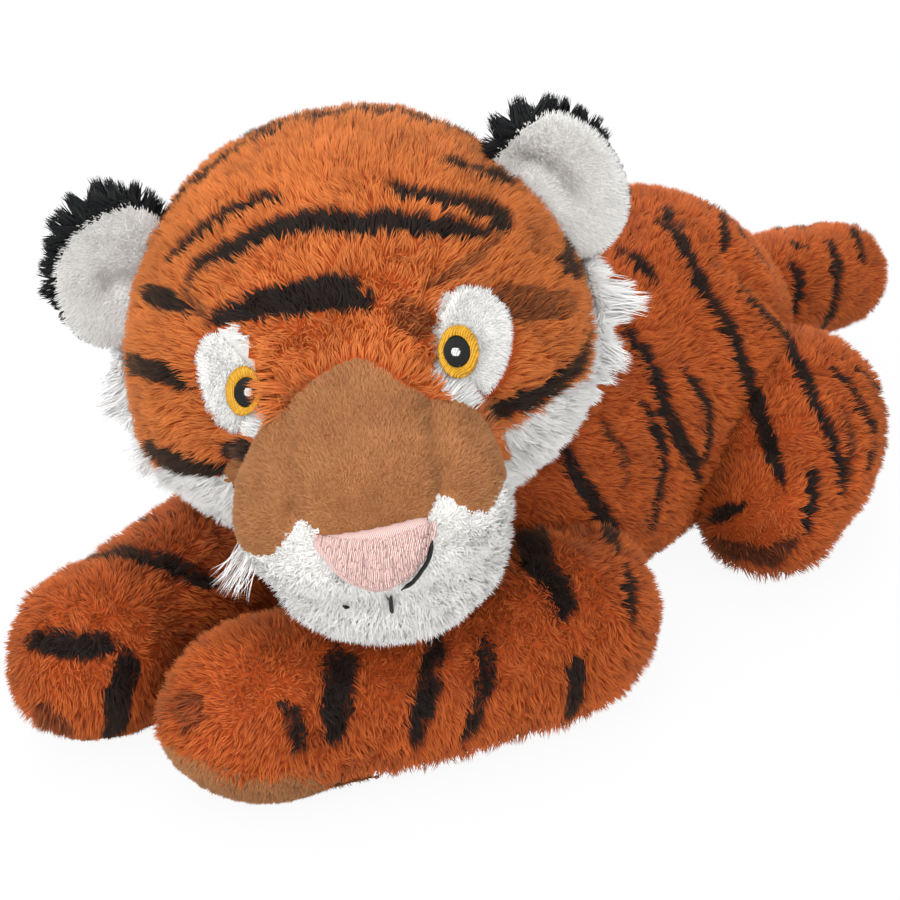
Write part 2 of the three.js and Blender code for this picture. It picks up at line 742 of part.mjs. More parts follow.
/** The head with everything that is sewn to it. */
function head() {
  const group = new THREE.Group();
  group.applyMatrix4(headMatrix);
  group.position.sub(neck);
  const neckInHead = neck.clone().applyMatrix4(headMatrix.clone().invert());
  const neckCup = cup(neckDiameter / 2, neckInHead);
  const outer = solidOf(headForm(0, headSteps));
  const wall = outer.subtract(solidOf(headForm(-skinThickness, coreHeadSteps))).subtract(neckCup);
  const eyes = [eye(1, "left", wall), eye(-1, "right", wall)];
  const openings = eyes.map((made) => made.hole).reduce((sum, next) => sum.add(next));
  const skin = wall.subtract(muzzleForm(seamGap)).subtract(openings);
  group.add(meshOf("head_skin", mainBody(skin), orangePlush));

  const headRoom = solidOf(headForm(seamGap, coreHeadSteps)).add(solidOf(headForm(seamGap, headSteps)));
  const bridge = solidOf(bridgeForm(0, limbRings, bridgeAroundSteps));
  const bridgeSkin = bridge.subtract(solidOf(bridgeForm(-skinThickness, coreRings, coreBridgeAroundSteps)));
  const jawInside = solidOf(jawForm(-skinThickness, coreSteps));
  group.add(meshOf("muzzle_bridge", mainBody(bridgeSkin.subtract(headRoom).subtract(jawInside)), tanPlush));
  const jaw = solidOf(jawForm(0, jawSteps));
  const bridgeRoom = solidOf(bridgeForm(seamGap, limbRings, bridgeAroundSteps));
  const jawSkin = jaw.subtract(jawInside).subtract(bridgeRoom);
  group.add(meshOf("muzzle_lips", mainBody(jawSkin.subtract(headRoom)), whitePlush));

  const inside = -skinThickness - seamGap;
  const filling = solidOf(headForm(inside, coreHeadSteps)).add(muzzleForm(inside)).subtract(neckCup);
  group.add(meshOf("head_stuffing", mainBody(filling), stuffing));

  const from = headDepth / 2;
  const nose = padOn(fineMuzzle, noseOutline(), noseThickness, from);
  group.add(meshOf("nose", mainBody(nose), pinkVelour));
  const stitch = padOn(fineMuzzle, stitchOutline(), stitchThickness, from);
  group.add(meshOf("mouth_stitch", mainBody(stitch), blackThread));
  for (const made of eyes) group.add(...made.meshes);
  for (const [side, name] of [[1, "left"], [-1, "right"]]) {
    group.add(cheekRuff(side, name, neckCup));
    group.add(ear(side, name));
  }
  return group;
}

/** The firm ball of stuffing in the gathered neck, on which the head turns and nods. */
function neckBall() {
  const group = new THREE.Group();
  group.position.copy(neck);
  group.add(meshOf("neck_stuffing", ball(neckDiameter / 2), stuffing));
  group.add(head());
  return group;
}

const tiger = new THREE.Group();
tiger.name = "plush_tiger";
tiger.add(torso(), neckBall(), foreleg(1), foreleg(-1), hindLeg(1), hindLeg(-1), tail());
const bounds = new THREE.Box3().setFromObject(tiger, true);
const middle = bounds.getCenter(new THREE.Vector3());
tiger.position.set(-middle.x, -middle.y, -bounds.min.z);

export default tiger;
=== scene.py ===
"""Looks of a lying plush tiger: stuffed forms, printed plush pile, fleece, embroidery and a pale studio."""

import functools
import itertools
import json
import logging
import math
from collections.abc import Iterable, Iterator
from dataclasses import dataclass, field, replace
from enum import Enum

import bmesh
import bpy
import numpy as np
from mathutils import Matrix, Vector
from mathutils.bvhtree import BVHTree
from mathutils.kdtree import KDTree


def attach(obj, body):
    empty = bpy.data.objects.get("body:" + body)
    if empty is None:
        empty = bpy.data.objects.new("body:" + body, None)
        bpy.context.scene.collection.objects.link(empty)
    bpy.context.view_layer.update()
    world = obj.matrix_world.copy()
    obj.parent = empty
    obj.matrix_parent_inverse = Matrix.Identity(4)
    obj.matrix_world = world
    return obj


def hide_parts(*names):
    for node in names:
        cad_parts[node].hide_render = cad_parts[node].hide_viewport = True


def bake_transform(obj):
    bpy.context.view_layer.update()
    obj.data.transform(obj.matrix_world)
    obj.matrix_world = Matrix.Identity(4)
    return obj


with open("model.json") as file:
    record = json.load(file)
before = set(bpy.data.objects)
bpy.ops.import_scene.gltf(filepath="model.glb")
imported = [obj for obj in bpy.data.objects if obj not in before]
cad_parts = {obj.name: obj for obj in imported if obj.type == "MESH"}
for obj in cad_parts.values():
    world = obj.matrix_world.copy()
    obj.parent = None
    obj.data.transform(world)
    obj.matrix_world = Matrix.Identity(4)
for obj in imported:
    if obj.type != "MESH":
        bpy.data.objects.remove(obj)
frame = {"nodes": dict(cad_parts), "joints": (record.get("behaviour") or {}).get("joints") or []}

log = logging.getLogger("plush_tiger")

MM = 0.001
SEED = 41
MIRROR = np.array((-1.0, 1.0, 1.0))
PHOTO_SIZE = 900
FOCAL_PIXELS = 2076.0
SENSOR = 36.0
CAMERA_PLACE = (262.0, -463.34, 310.0)
CAMERA_AIM = (-56.0, 25.66, 0.0)
HAIR_CLEARANCE = 0.35
FLOOR_CLEARANCE = 0.2
# How far a cover lies inside its form, and how far outside it its pile's printed tips are seen, in mm
COVER_INSET = -2.2
MUZZLE_INSET = -1.0
JAW_INSET = -1.7
OUTER = 2.2

# Sizes of the stuffed forms, in mm, the same as those of the part. A spine's rows are places sideways, along
# and up, as shares; a section's rows are the place along the form, its width and its height.
NECK = (0.0, -50.0, 79.0)
FLOOR_SINK = 0.5
CAP_SHARE = 0.22
TORSO_SIZE = (98.0, 180.0, 98.0)
CHEST_REACH = 58.0
RUMP_SHIFT = 9.0
# The torso's own rows start with the place along it
TORSO_SPINE_SHARES = (
    (0, 0, 0.56), (0.16, 0, 0.48), (0.42, 0, 0.478), (0.66, 0.15, 0.485), (0.84, 0.55, 0.42), (1, 1, 0.38),
)
TORSO_SECTION_SHARES = (
    (0, 0.78, 0.74), (0.16, 0.82, 0.88), (0.42, 0.95, 0.97), (0.66, 1, 0.98), (0.84, 0.79, 0.79),
    (1, 0.5, 0.56),
)
BELLY_ROUND_SHARE = 0.69
FORELEG_SIZE = (47.0, 96.0, 47.0)
LEFT_FORELEG_SPINE_SHARES = (
    (0.04, -0.08, 0.76), (0.06, 0.12, 0.54), (-0.02, 0.4, 0.49), (-0.2, 0.72, 0.49), (-0.53, 1.17, 0.5),
)
RIGHT_FORELEG_SPINE_SHARES = (
    (0.06, -0.08, 0.76), (0.1, 0.12, 0.56), (0.11, 0.42, 0.49), (0.1, 0.8, 0.49), (0.1, 1.25, 0.5),
)
FORELEG_SECTION_SHARES = (
    (0, 0.86, 1), (0.2, 1.04, 1.12), (0.45, 0.96, 1), (0.7, 0.92, 0.98), (0.88, 1, 1), (1, 0.94, 0.94),
)
HIND_LEG_SIZE = (60.0, 64.0, 62.0)
HIND_LEG_SPINE_SHARES = (
    (0, -0.18, 0.44), (0.12, 0.16, 0.48), (0.22, 0.46, 0.42), (0.3, 0.72, 0.33), (0.38, 1.04, 0.31),
)
HIND_LEG_SECTION_SHARES = (
    (0, 0.74, 0.7), (0.3, 0.96, 0.96), (0.55, 0.9, 0.84), (0.78, 0.68, 0.63), (1, 0.66, 0.6),
)
TAIL_SIZE = (37.0, 78.0, 37.0)
TAIL_SPINE_SHARES = ((0, 0, 0), (0.05, 0.35, -0.05), (0.1, 0.7, -0.12), (0.13, 1.06, -0.2))
TAIL_SECTION_SHARES = ((0, 0.94, 0.94), (0.4, 1, 1), (0.8, 0.96, 0.96), (1, 0.88, 0.88))
HEAD_SIZE = (110.0, 104.0, 96.0)
HEAD_ROUND_SHARE = 0.889
HEAD_TAPER_SHARE = 0.17
HEAD_FROM_NECK = (-1.5, -26.5, 28.0)
HEAD_ANGLES = (3.0, -10.5, 36.0)
BRIDGE_SIZE = (62.0, 62.0, 50.0)
BRIDGE_DROP = 9.0
BRIDGE_ROOT_SHARE = 0.2
BRIDGE_SPINE_SHARES = ((0, -0.1, 0.12), (0, 0.35, 0.04), (0, 0.7, -0.1), (0, 1, -0.2))
BRIDGE_SECTION_SHARES = ((0, 0.7, 0.9), (0.4, 0.9, 1), (0.72, 1, 0.84), (1, 0.8, 0.5))
JAW_SIZE = (57.0, 62.0, 46.0)
JAW_AHEAD_SHARE = 0.385
CHIN_DROP = 56.0
EAR_SIZE = (31.0, 11.0, 42.0)
EAR_BACK = 6.0
EAR_LIFT = 22.0
EAR_SEAT_SHARE = 0.76
SOLE_HEIGHT = 6.0
SOLE_REACH = 34.0

# Keys of the random numbers in noise()
AXIS_KEYS = (73856093, 19349663, 83492791)
SEED_KEY = 31
CHANNEL_KEY = 2654435761
MIX_KEYS = ((15, 2246822519), (13, 3266489917))
LAST_SHIFT = 16
WORD = 0xFFFFFFFF
HALF_WORD = 2147483648.0
NOISE_ORIGIN = 1000.0


class Slot(Enum):
    """The record's material slots, one of which each finish names."""

    ORANGE = "orange_plush"
    TAN = "tan_plush"
    WHITE = "white_plush"
    BLACK = "black_plush"
    PINK = "pink_velour"
    GOLD = "gold_thread"
    BLACK_THREAD = "black_thread"
    WHITE_THREAD = "white_thread"


def unit(vectors: np.ndarray) -> np.ndarray:
    """Vectors at length one.

    Args:
        vectors: rows of vectors, or one vector.

    Returns:
        The same rows, each of length one.
    """
    length = np.linalg.norm(vectors, axis=-1, keepdims=True)
    return vectors / np.maximum(length, 1e-9)


def dots(first: np.ndarray, second: np.ndarray) -> np.ndarray:
    """The dot product of each row with the other's."""
    return np.einsum("ij,ij->i", first, second)


def noise(points: np.ndarray, size: float, seed: int, channels: int = 3) -> np.ndarray:
    """Smooth random numbers from -1 to 1 that change over a distance.

    Args:
        points: places in mm.
        size: the distance over which the numbers change, in mm.
        seed: which numbers.
        channels: how many numbers each place gets.

    Returns:
        One row of numbers for each place.
    """
    scaled = points / size + NOISE_ORIGIN
    corner = np.floor(scaled).astype(np.int64)
    part = scaled - corner
    part = part * part * (3 - 2 * part)
    total = np.zeros((len(points), channels))
    for steps in itertools.product((0, 1), repeat=3):
        sides = [part[:, axis] if step else 1 - part[:, axis] for axis, step in enumerate(steps)]
        weight = sides[0] * sides[1] * sides[2]
        keys = [(corner[:, axis] + step) * AXIS_KEYS[axis] for axis, step in enumerate(steps)]
        for channel in range(channels):
            mixed = ((keys[0] ^ keys[1] ^ keys[2]) + (seed * SEED_KEY + channel) * CHANNEL_KEY) & WORD
            for shift, factor in MIX_KEYS:
                mixed = ((mixed ^ (mixed >> shift)) * factor) & WORD
            mixed = mixed ^ (mixed >> LAST_SHIFT)
            total[:, channel] += weight * (mixed / HALF_WORD - 1)
    return total


def wavering(points: np.ndarray, size: float, seed: int) -> np.ndarray:
    """One smooth random number from -1 to 1 for each place."""
    return noise(points, size, seed, 1)[:, 0]


def share_at(rows: tuple, along: np.ndarray, column: int) -> np.ndarray:
    """A table's share at places along a centre line, eased between its rows."""
    table = np.array(rows, float)
    after = np.clip(np.searchsorted(table[:, 0], along), 1, len(table) - 1)
    low, high = table[after - 1], table[after]
    part = np.clip((along - low[:, 0]) / (high[:, 0] - low[:, 0]), 0, 1)
    eased = (1 - np.cos(np.pi * part)) / 2
    return low[:, column] + (high[:, column] - low[:, column]) * eased


def tree_of(places: np.ndarray, rows: Iterable[int]) -> KDTree:
    """A search tree of places, each found under its row."""
    tree = KDTree(len(places))
    for row, place in zip(rows, places):
        tree.insert(place, row)
    tree.balance()
    return tree


class CentreLine:
    """A smooth curve through points, measured along its length."""

    FINE = 60
    HEADING_STEP = 0.01

    def __init__(self, points: np.ndarray) -> None:
        """Lays the line through its points."""
        first = 2 * points[0] - points[1]
        last = 2 * points[-1] - points[-2]
        knots = np.vstack([first, points, last])
        places = [self._stretch(knots[start : start + 4]) for start in range(len(knots) - 3)]
        self.places = np.vstack(places + [points[-1:]])
        steps = np.linalg.norm(np.diff(self.places, axis=0), axis=1)
        self.shares = np.concatenate([[0], np.cumsum(steps)]) / steps.sum()

    def _stretch(self, knots: np.ndarray) -> np.ndarray:
        """Places on the centripetal curve between the middle two of four points."""
        gaps = [max(np.linalg.norm(end - start) ** 0.5, 1e-6) for start, end in zip(knots, knots[1:])]
        times = np.concatenate([[0], np.cumsum(gaps)])
        time = np.linspace(times[1], times[2], self.FINE, endpoint=False)[:, None]

        def mix(start: np.ndarray, end: np.ndarray, low: int, high: int) -> np.ndarray:
            """A blend of two places by where the time lies between two others."""
            span = times[high] - times[low]
            return (times[high] - time) / span * start + (time - times[low]) / span * end

        lines = [mix(knots[row], knots[row + 1], row, row + 1) for row in range(3)]
        arcs = [mix(lines[row], lines[row + 1], row, row + 2) for row in range(2)]
        return mix(arcs[0], arcs[1], 1, 2)

    def at(self, along: np.ndarray) -> np.ndarray:
        """Places at shares of the curve's length."""
        return np.stack([np.interp(along, self.shares, self.places[:, axis]) for axis in range(3)], axis=1)

    def heading(self, along: np.ndarray) -> np.ndarray:
        """The curve's direction at shares of its length."""
        ahead, behind = np.minimum(along + self.HEADING_STEP, 1), np.maximum(along - self.HEADING_STEP, 0)
        return unit(self.at(ahead) - self.at(behind))


@dataclass(frozen=True)
class SoftForm:
    """A stuffed form that swells and tapers along a centre line about its pivot, round at both ends."""

    pivot: tuple
    spine: tuple
    width: float
    height: float
    sections: tuple
    under_round: float = 1.0

    def points(self, ball: np.ndarray, swell: float) -> np.ndarray:
        """Places on the form for places on a ball of radius one, in mm.

        Args:
            ball: rows on a ball of radius one.
            swell: how far the surface lies outside the form, in mm.

        Returns:
            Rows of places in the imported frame, in mm.
        """
        along = (1 - ball[:, 2]) / 2
        line = CentreLine(np.array(self.spine, float))
        heading = line.heading(along)
        centre = line.at(along) + heading * (swell * (2 * along - 1))[:, None]
        side = unit(np.cross(heading, (0, 0, 1)))
        top = np.cross(side, heading)
        to_end = np.minimum(1, np.minimum(along, 1 - along) / CAP_SHARE)
        round_share = np.sqrt(np.maximum(0, 1 - (1 - to_end) ** 2))
        half_width = (self.width / 2 * share_at(self.sections, along, 1) + swell) * round_share
        half_height = (self.height / 2 * share_at(self.sections, along, 2) + swell) * round_share
        angle = np.arctan2(ball[:, 1], ball[:, 0])
        across, upwards = np.cos(angle), np.sin(angle)
        power = np.where(upwards < 0, self.under_round, 1.0)
        across = np.sign(across) * np.abs(across) ** power
        upwards = np.sign(upwards) * np.abs(upwards) ** power
        sideways = side * (half_width * across)[:, None]
        return centre + sideways + top * (half_height * upwards)[:, None] + self.pivot

    def nap(self, places: np.ndarray) -> np.ndarray:
        """The way in which the form runs at places near it: along it, away from its root."""
        line = CentreLine(np.array(self.spine, float))
        shares = np.linspace(0, 1, CentreLine.FINE)
        knots = line.at(shares) + self.pivot
        nearest = np.argmin(np.linalg.norm(places[:, None, :] - knots[None], axis=2), axis=1)
        return line.heading(shares)[nearest]


@dataclass(frozen=True)
class BlockForm:
    """A rounded block, squared a little and narrower at its top, in the head's own frame."""

    size: tuple
    centre: tuple
    round_share: float
    taper: float = 0.0

    def points(self, ball: np.ndarray, swell: float) -> np.ndarray:
        """Places on the block for places on a ball of radius one, in mm."""
        parts = np.abs(ball) ** (2 / self.round_share)
        shaped = ball / (parts.sum(axis=1) ** (self.round_share / 2))[:, None]
        shaped[:, 0] *= 1 - self.taper * shaped[:, 2]
        return shaped * (np.array(self.size) / 2 + swell) + self.centre


class Viewfinder:
    """The photograph's camera, which turns its pixels into rays and places into pixels."""

    def __init__(self) -> None:
        """Sets the camera's place and its three directions."""
        self.place = np.array(CAMERA_PLACE)
        self.ahead = unit(np.array(CAMERA_AIM) - self.place)
        self.right = unit(np.cross(self.ahead, (0, 0, 1)))
        self.up = np.cross(self.right, self.ahead)

    def rays(self, pixels: np.ndarray) -> np.ndarray:
        """Directions from the camera through pixels."""
        across = (pixels[:, 0:1] - PHOTO_SIZE / 2) / FOCAL_PIXELS
        down = (pixels[:, 1:2] - PHOTO_SIZE / 2) / FOCAL_PIXELS
        return unit(self.ahead + across * self.right - down * self.up)

    def pixels(self, places: np.ndarray) -> np.ndarray:
        """Where places show in the photograph."""
        away = places - self.place
        depth = away @ self.ahead
        across = away @ self.right / depth * FOCAL_PIXELS + PHOTO_SIZE / 2
        down = PHOTO_SIZE / 2 - away @ self.up / depth * FOCAL_PIXELS
        return np.stack([across, down], axis=1)

    def facing(self, places: np.ndarray, normals: np.ndarray) -> np.ndarray:
        """How squarely each place faces the camera, from -1 to 1."""
        return dots(unit(self.place - places), normals)

    def cast(self, tree: BVHTree, pixels: np.ndarray) -> np.ndarray:
        """Places where rays through pixels first meet a surface; rows of NaN where they miss."""
        found = np.full((len(pixels), 3), np.nan)
        origin = Vector(self.place)
        for row, direction in enumerate(self.rays(pixels)):
            place, _normal, _index, _distance = tree.ray_cast(origin, Vector(direction))
            if place is not None:
                found[row] = place
        return found


VIEWFINDER = Viewfinder()


def drawn(course: tuple, step: float = 2.5) -> np.ndarray:
    """Pixels at even steps along a course of given pixels."""
    corners = np.array(course, float)
    lengths = np.linalg.norm(np.diff(corners, axis=0), axis=1)
    total = np.concatenate([[0], np.cumsum(lengths)])
    wanted = np.linspace(0, total[-1], max(2, int(total[-1] / step)))
    return np.stack([np.interp(wanted, total, corners[:, axis]) for axis in (0, 1)], axis=1)


def inside_outline(pixels: np.ndarray, outline: tuple) -> np.ndarray:
    """Which pixels lie inside a closed outline."""
    corners = np.array(outline, float)
    crossed = np.zeros(len(pixels), bool)
    for start, end in zip(corners, np.roll(corners, -1, axis=0)):
        spans = (start[1] > pixels[:, 1]) != (end[1] > pixels[:, 1])
        with np.errstate(divide="ignore", invalid="ignore"):
            edge = (end[0] - start[0]) * (pixels[:, 1] - start[1]) / (end[1] - start[1]) + start[0]
        crossed ^= spans & (pixels[:, 0] < edge)
    return crossed


def outside_by(pixels: np.ndarray, outline: tuple) -> np.ndarray:
    """How many pixels each place lies outside a closed outline, zero inside it."""
    corners = np.array(outline, float)
    nearest = np.full(len(pixels), np.inf)
    for start, end in zip(corners, np.roll(corners, -1, axis=0)):
        way = end - start
        share = np.clip((pixels - start) @ way / (way @ way), 0, 1)[:, None]
        nearest = np.minimum(nearest, np.linalg.norm(pixels - start - way * share, axis=1))
    return np.where(inside_outline(pixels, outline), 0, nearest)


@dataclass
class Surface:
    """A closed form as arrays: places in mm, faces as triangles, and outward normals."""

    places: np.ndarray
    faces: np.ndarray
    normals: np.ndarray

    @classmethod
    def of(cls, mesh: bpy.types.Mesh) -> "Surface":
        """The arrays of a mesh whose places are in metres."""
        mesh.calc_loop_triangles()
        places = np.zeros(len(mesh.vertices) * 3)
        mesh.vertices.foreach_get("co", places)
        normals = np.zeros(len(mesh.vertices) * 3)
        mesh.vertex_normals.foreach_get("vector", normals)
        faces = np.zeros(len(mesh.loop_triangles) * 3, np.int32)
        mesh.loop_triangles.foreach_get("vertices", faces)
        return cls(places.reshape(-1, 3) / MM, faces.reshape(-1, 3), normals.reshape(-1, 3))

    def tree(self, swell: float = 0.0) -> BVHTree:
        """A search tree of the form, moved outwards by a distance in mm."""
        places = self.places + self.normals * swell
        return BVHTree.FromPolygons(places.tolist(), self.faces.tolist())

    def depth_in(self, other: "Surface") -> np.ndarray:
        """How deep each place of this form lies inside another, in mm, negative outside it."""
        tree = other.tree()
        depth = np.full(len(self.places), -1e3)
        for row, place in enumerate(self.places):
            near, normal, _index, distance = tree.find_nearest(Vector(place))
            if near is not None:
                outside = (Vector(place) - near).dot(normal) > 0
                depth[row] = -distance if outside else distance
        return depth


@dataclass(frozen=True)
class Stripe:
    """A printed stripe: its course in the photograph, half its width along it in mm, and how dark it is."""

    course: tuple
    half_widths: tuple
    dark: float = 1.0


class StripePrint:
    """The stripes that are printed on one form, and how the pile blurs them."""

    TAPER = 0.1
    BLUNTNESS = 0.12
    SHOWN_WITHIN = 5.0
    RING_PLACES = 40
    RING_WAVER = 0.012
    RING_TAPER = (0.7, 1.0, 0.6)
    MIRROR_WAVER = 4.0
    MIRROR_WAVER_SIZE = 40
    EDGE = 0.5
    EDGE_SPREAD = 0.3
    WIDER = 1.3
    RAGGED = 0.35
    RAGGED_SIZE = 2.6
    MISSED = 0.3

    def __init__(self) -> None:
        """Starts without stripes."""
        self.places: list[np.ndarray] = []
        self.half_widths: list[np.ndarray] = []
        self.dark: list[np.ndarray] = []

    def add(self, places: np.ndarray, half_widths: tuple, dark: float = 1.0) -> None:
        """Adds one stripe by the places along its middle, in mm."""
        kept = ~np.isnan(places[:, 0])
        shares = np.linspace(0, 1, len(places))
        width = np.interp(shares, np.linspace(0, 1, len(half_widths)), half_widths)
        ends = np.minimum(1, np.sqrt(np.minimum(shares, 1 - shares) / self.TAPER + self.BLUNTNESS))
        self.places.append(places[kept])
        self.half_widths.append((width * ends)[kept])
        self.dark.append(np.full(kept.sum(), dark))

    def cast(self, stripes: tuple, tree: BVHTree, mirrored: bool = False) -> None:
        """Adds stripes by casting their courses on a form.

        Args:
            stripes: the stripes.
            tree: the form's surface.
            mirrored: whether each stripe has a mirror image, a little off its place.
        """
        for stripe in stripes:
            places = VIEWFINDER.cast(tree, drawn(stripe.course))
            self.add(places, stripe.half_widths, stripe.dark)
            if mirrored:
                turned = places.astype(np.float32) * MIRROR
                waver = noise(np.nan_to_num(turned), self.MIRROR_WAVER_SIZE, SEED)
                self.add(turned + waver * self.MIRROR_WAVER, stripe.half_widths, stripe.dark)

    def mirror(self, other: "StripePrint") -> None:
        """Takes over the mirror images of another form's stripes."""
        self.places = [part * MIRROR for part in other.places]
        self.half_widths = list(other.half_widths)
        self.dark = list(other.dark)

    def ring(self, form: SoftForm, tree: BVHTree, row: tuple, seed: int) -> None:
        """Adds a stripe that runs round a form, where the camera doesn't see it.

        Args:
            form: the form.
            tree: its surface.
            row: its place along the form, its first and last angle in degrees, and half its width in mm.
            seed: which way it wavers.
        """
        share, first, last, half_width = row
        turns = np.radians(np.linspace(first, last, self.RING_PLACES))
        wave = wavering(np.stack([turns * 3, turns * 0, turns * 0], axis=1), 1.5, seed)
        height = 1 - 2 * np.clip(share + wave * self.RING_WAVER, 0.01, 0.99)
        flat = np.sqrt(1 - height**2)
        places = form.points(np.stack([np.cos(turns) * flat, np.sin(turns) * flat, height], axis=1), 0.0)
        for number, place in enumerate(places.copy()):
            found = tree.ray_cast(Vector(VIEWFINDER.place), Vector(unit(place - VIEWFINDER.place)))[0]
            if found is not None and (found - Vector(place)).length < self.SHOWN_WITHIN:
                places[number] = np.nan
        self.add(places, tuple(half_width * part for part in self.RING_TAPER))

    def at(self, places: np.ndarray, seed: int, fuzz: float = 0.28) -> np.ndarray:
        """How dark the print is at places, with the fuzzy edge that pile gives it.

        Args:
            places: the places, in mm.
            seed: which way the edges are ragged.
            fuzz: how far the edges spread by chance, in mm.

        Returns:
            Numbers from 0, which is bare, to 1, which is black.
        """
        middles = np.vstack(self.places)
        tree = tree_of(middles, range(len(middles)))
        half = np.concatenate(self.half_widths)
        dark = np.concatenate(self.dark)
        rows = np.zeros(len(places), int)
        away = np.zeros(len(places))
        for row, place in enumerate(places):
            _middle, rows[row], away[row] = tree.find(place)
        rng = np.random.default_rng(SEED + seed)
        ragged = wavering(places, self.RAGGED_SIZE, seed + 5) * self.RAGGED + rng.normal(0, fuzz, len(places))
        outside = away - half[rows] * self.WIDER - self.EDGE_SPREAD + ragged
        mask = np.clip(0.5 - outside / self.EDGE, 0, 1)
        missed = rng.random(len(places)) > dark[rows] + 0.2
        return mask * np.where(missed, self.MISSED, 1.0) * np.minimum(1, dark[rows] + 0.1)


@dataclass(frozen=True)
class PileKind:
    """How one pile fabric is made: its strands in mm, and their number on each square mm."""

    length: float
    width: float
    lean: float
    tuft: float
    tuft_size: float
    stray: float
    density: float
    steps: int = 1
    curl: float = 0.0
    lock: float = 0.0
    gather: float = 0.0

    def faces(self) -> int:
        """How many triangles one closed strand has."""
        return 4 if self.steps == 1 else 6 * self.steps - 2


ORANGE_PILE = PileKind(3.3, 0.44, 0.42, 0.6, 2.8, 0.2, 2.62, lock=2.0, gather=0.42)
HEAD_PILE = PileKind(3.3, 0.4, 0.38, 0.6, 2.7, 0.2, 3.75, lock=1.8, gather=0.42)
WHITE_PILE = PileKind(3.8, 0.43, 0.5, 0.45, 2.8, 0.22, 3.1, lock=2.2, gather=0.45)
SURROUND_PILE = PileKind(3.5, 0.42, 0.2, 0.3, 2.2, 0.15, 4.4)
VELOUR_PILE = PileKind(1.3, 0.32, 0.6, 0.5, 1.3, 0.4, 7.5, lock=1.0, gather=0.3)
PATCH_PILE = PileKind(1.15, 0.32, 0.35, 0.25, 1.4, 0.2, 8.0)
FLEECE_PILE = PileKind(2.3, 0.5, 0.45, 0.9, 2.2, 0.35, 3.1, steps=2, curl=0.5, lock=1.8, gather=0.4)
LINING_PILE = PileKind(1.3, 0.35, 0.7, 0.25, 2.2, 0.16, 7.0)
BLACK_PILE = PileKind(4.8, 0.46, 0.5, 0.5, 3.0, 0.2, 3.4, steps=2, curl=0.12, lock=2.8, gather=0.6)
RUFF_PILE = PileKind(10.5, 0.4, 1.2, 0.5, 4.6, 0.16, 2.5, steps=3, curl=0.2, lock=3.2, gather=0.74)


@dataclass(frozen=True)
class Coat:
    """Where a pile grows, by values at each vertex of a surface.

    The weights say how thickly it grows, the nap which way it lies, and stretch how long it is as a share of
    its kind's length. It ends where within falls under one half. The prints are its stripes.
    """

    surface: Surface
    weights: np.ndarray
    nap: np.ndarray
    prints: StripePrint | None = None
    stretch: np.ndarray | None = None
    within: np.ndarray | None = None


@dataclass(frozen=True)
class Roots:
    """Where strands grow: places, normals, and the corners of their faces with each one's share."""

    places: np.ndarray
    normals: np.ndarray
    corners: np.ndarray
    shares: np.ndarray

    def value(self, values: np.ndarray) -> np.ndarray:
        """The value at each root of what is given at each vertex of the surface."""
        pattern = "ij,ij->i" if values.ndim == 1 else "ij,ijk->ik"
        return np.einsum(pattern, self.shares, values[self.corners])

    def kept(self, keep: np.ndarray) -> "Roots":
        """Only the roots that are kept."""
        return Roots(*(values[keep] for values in vars(self).values()))


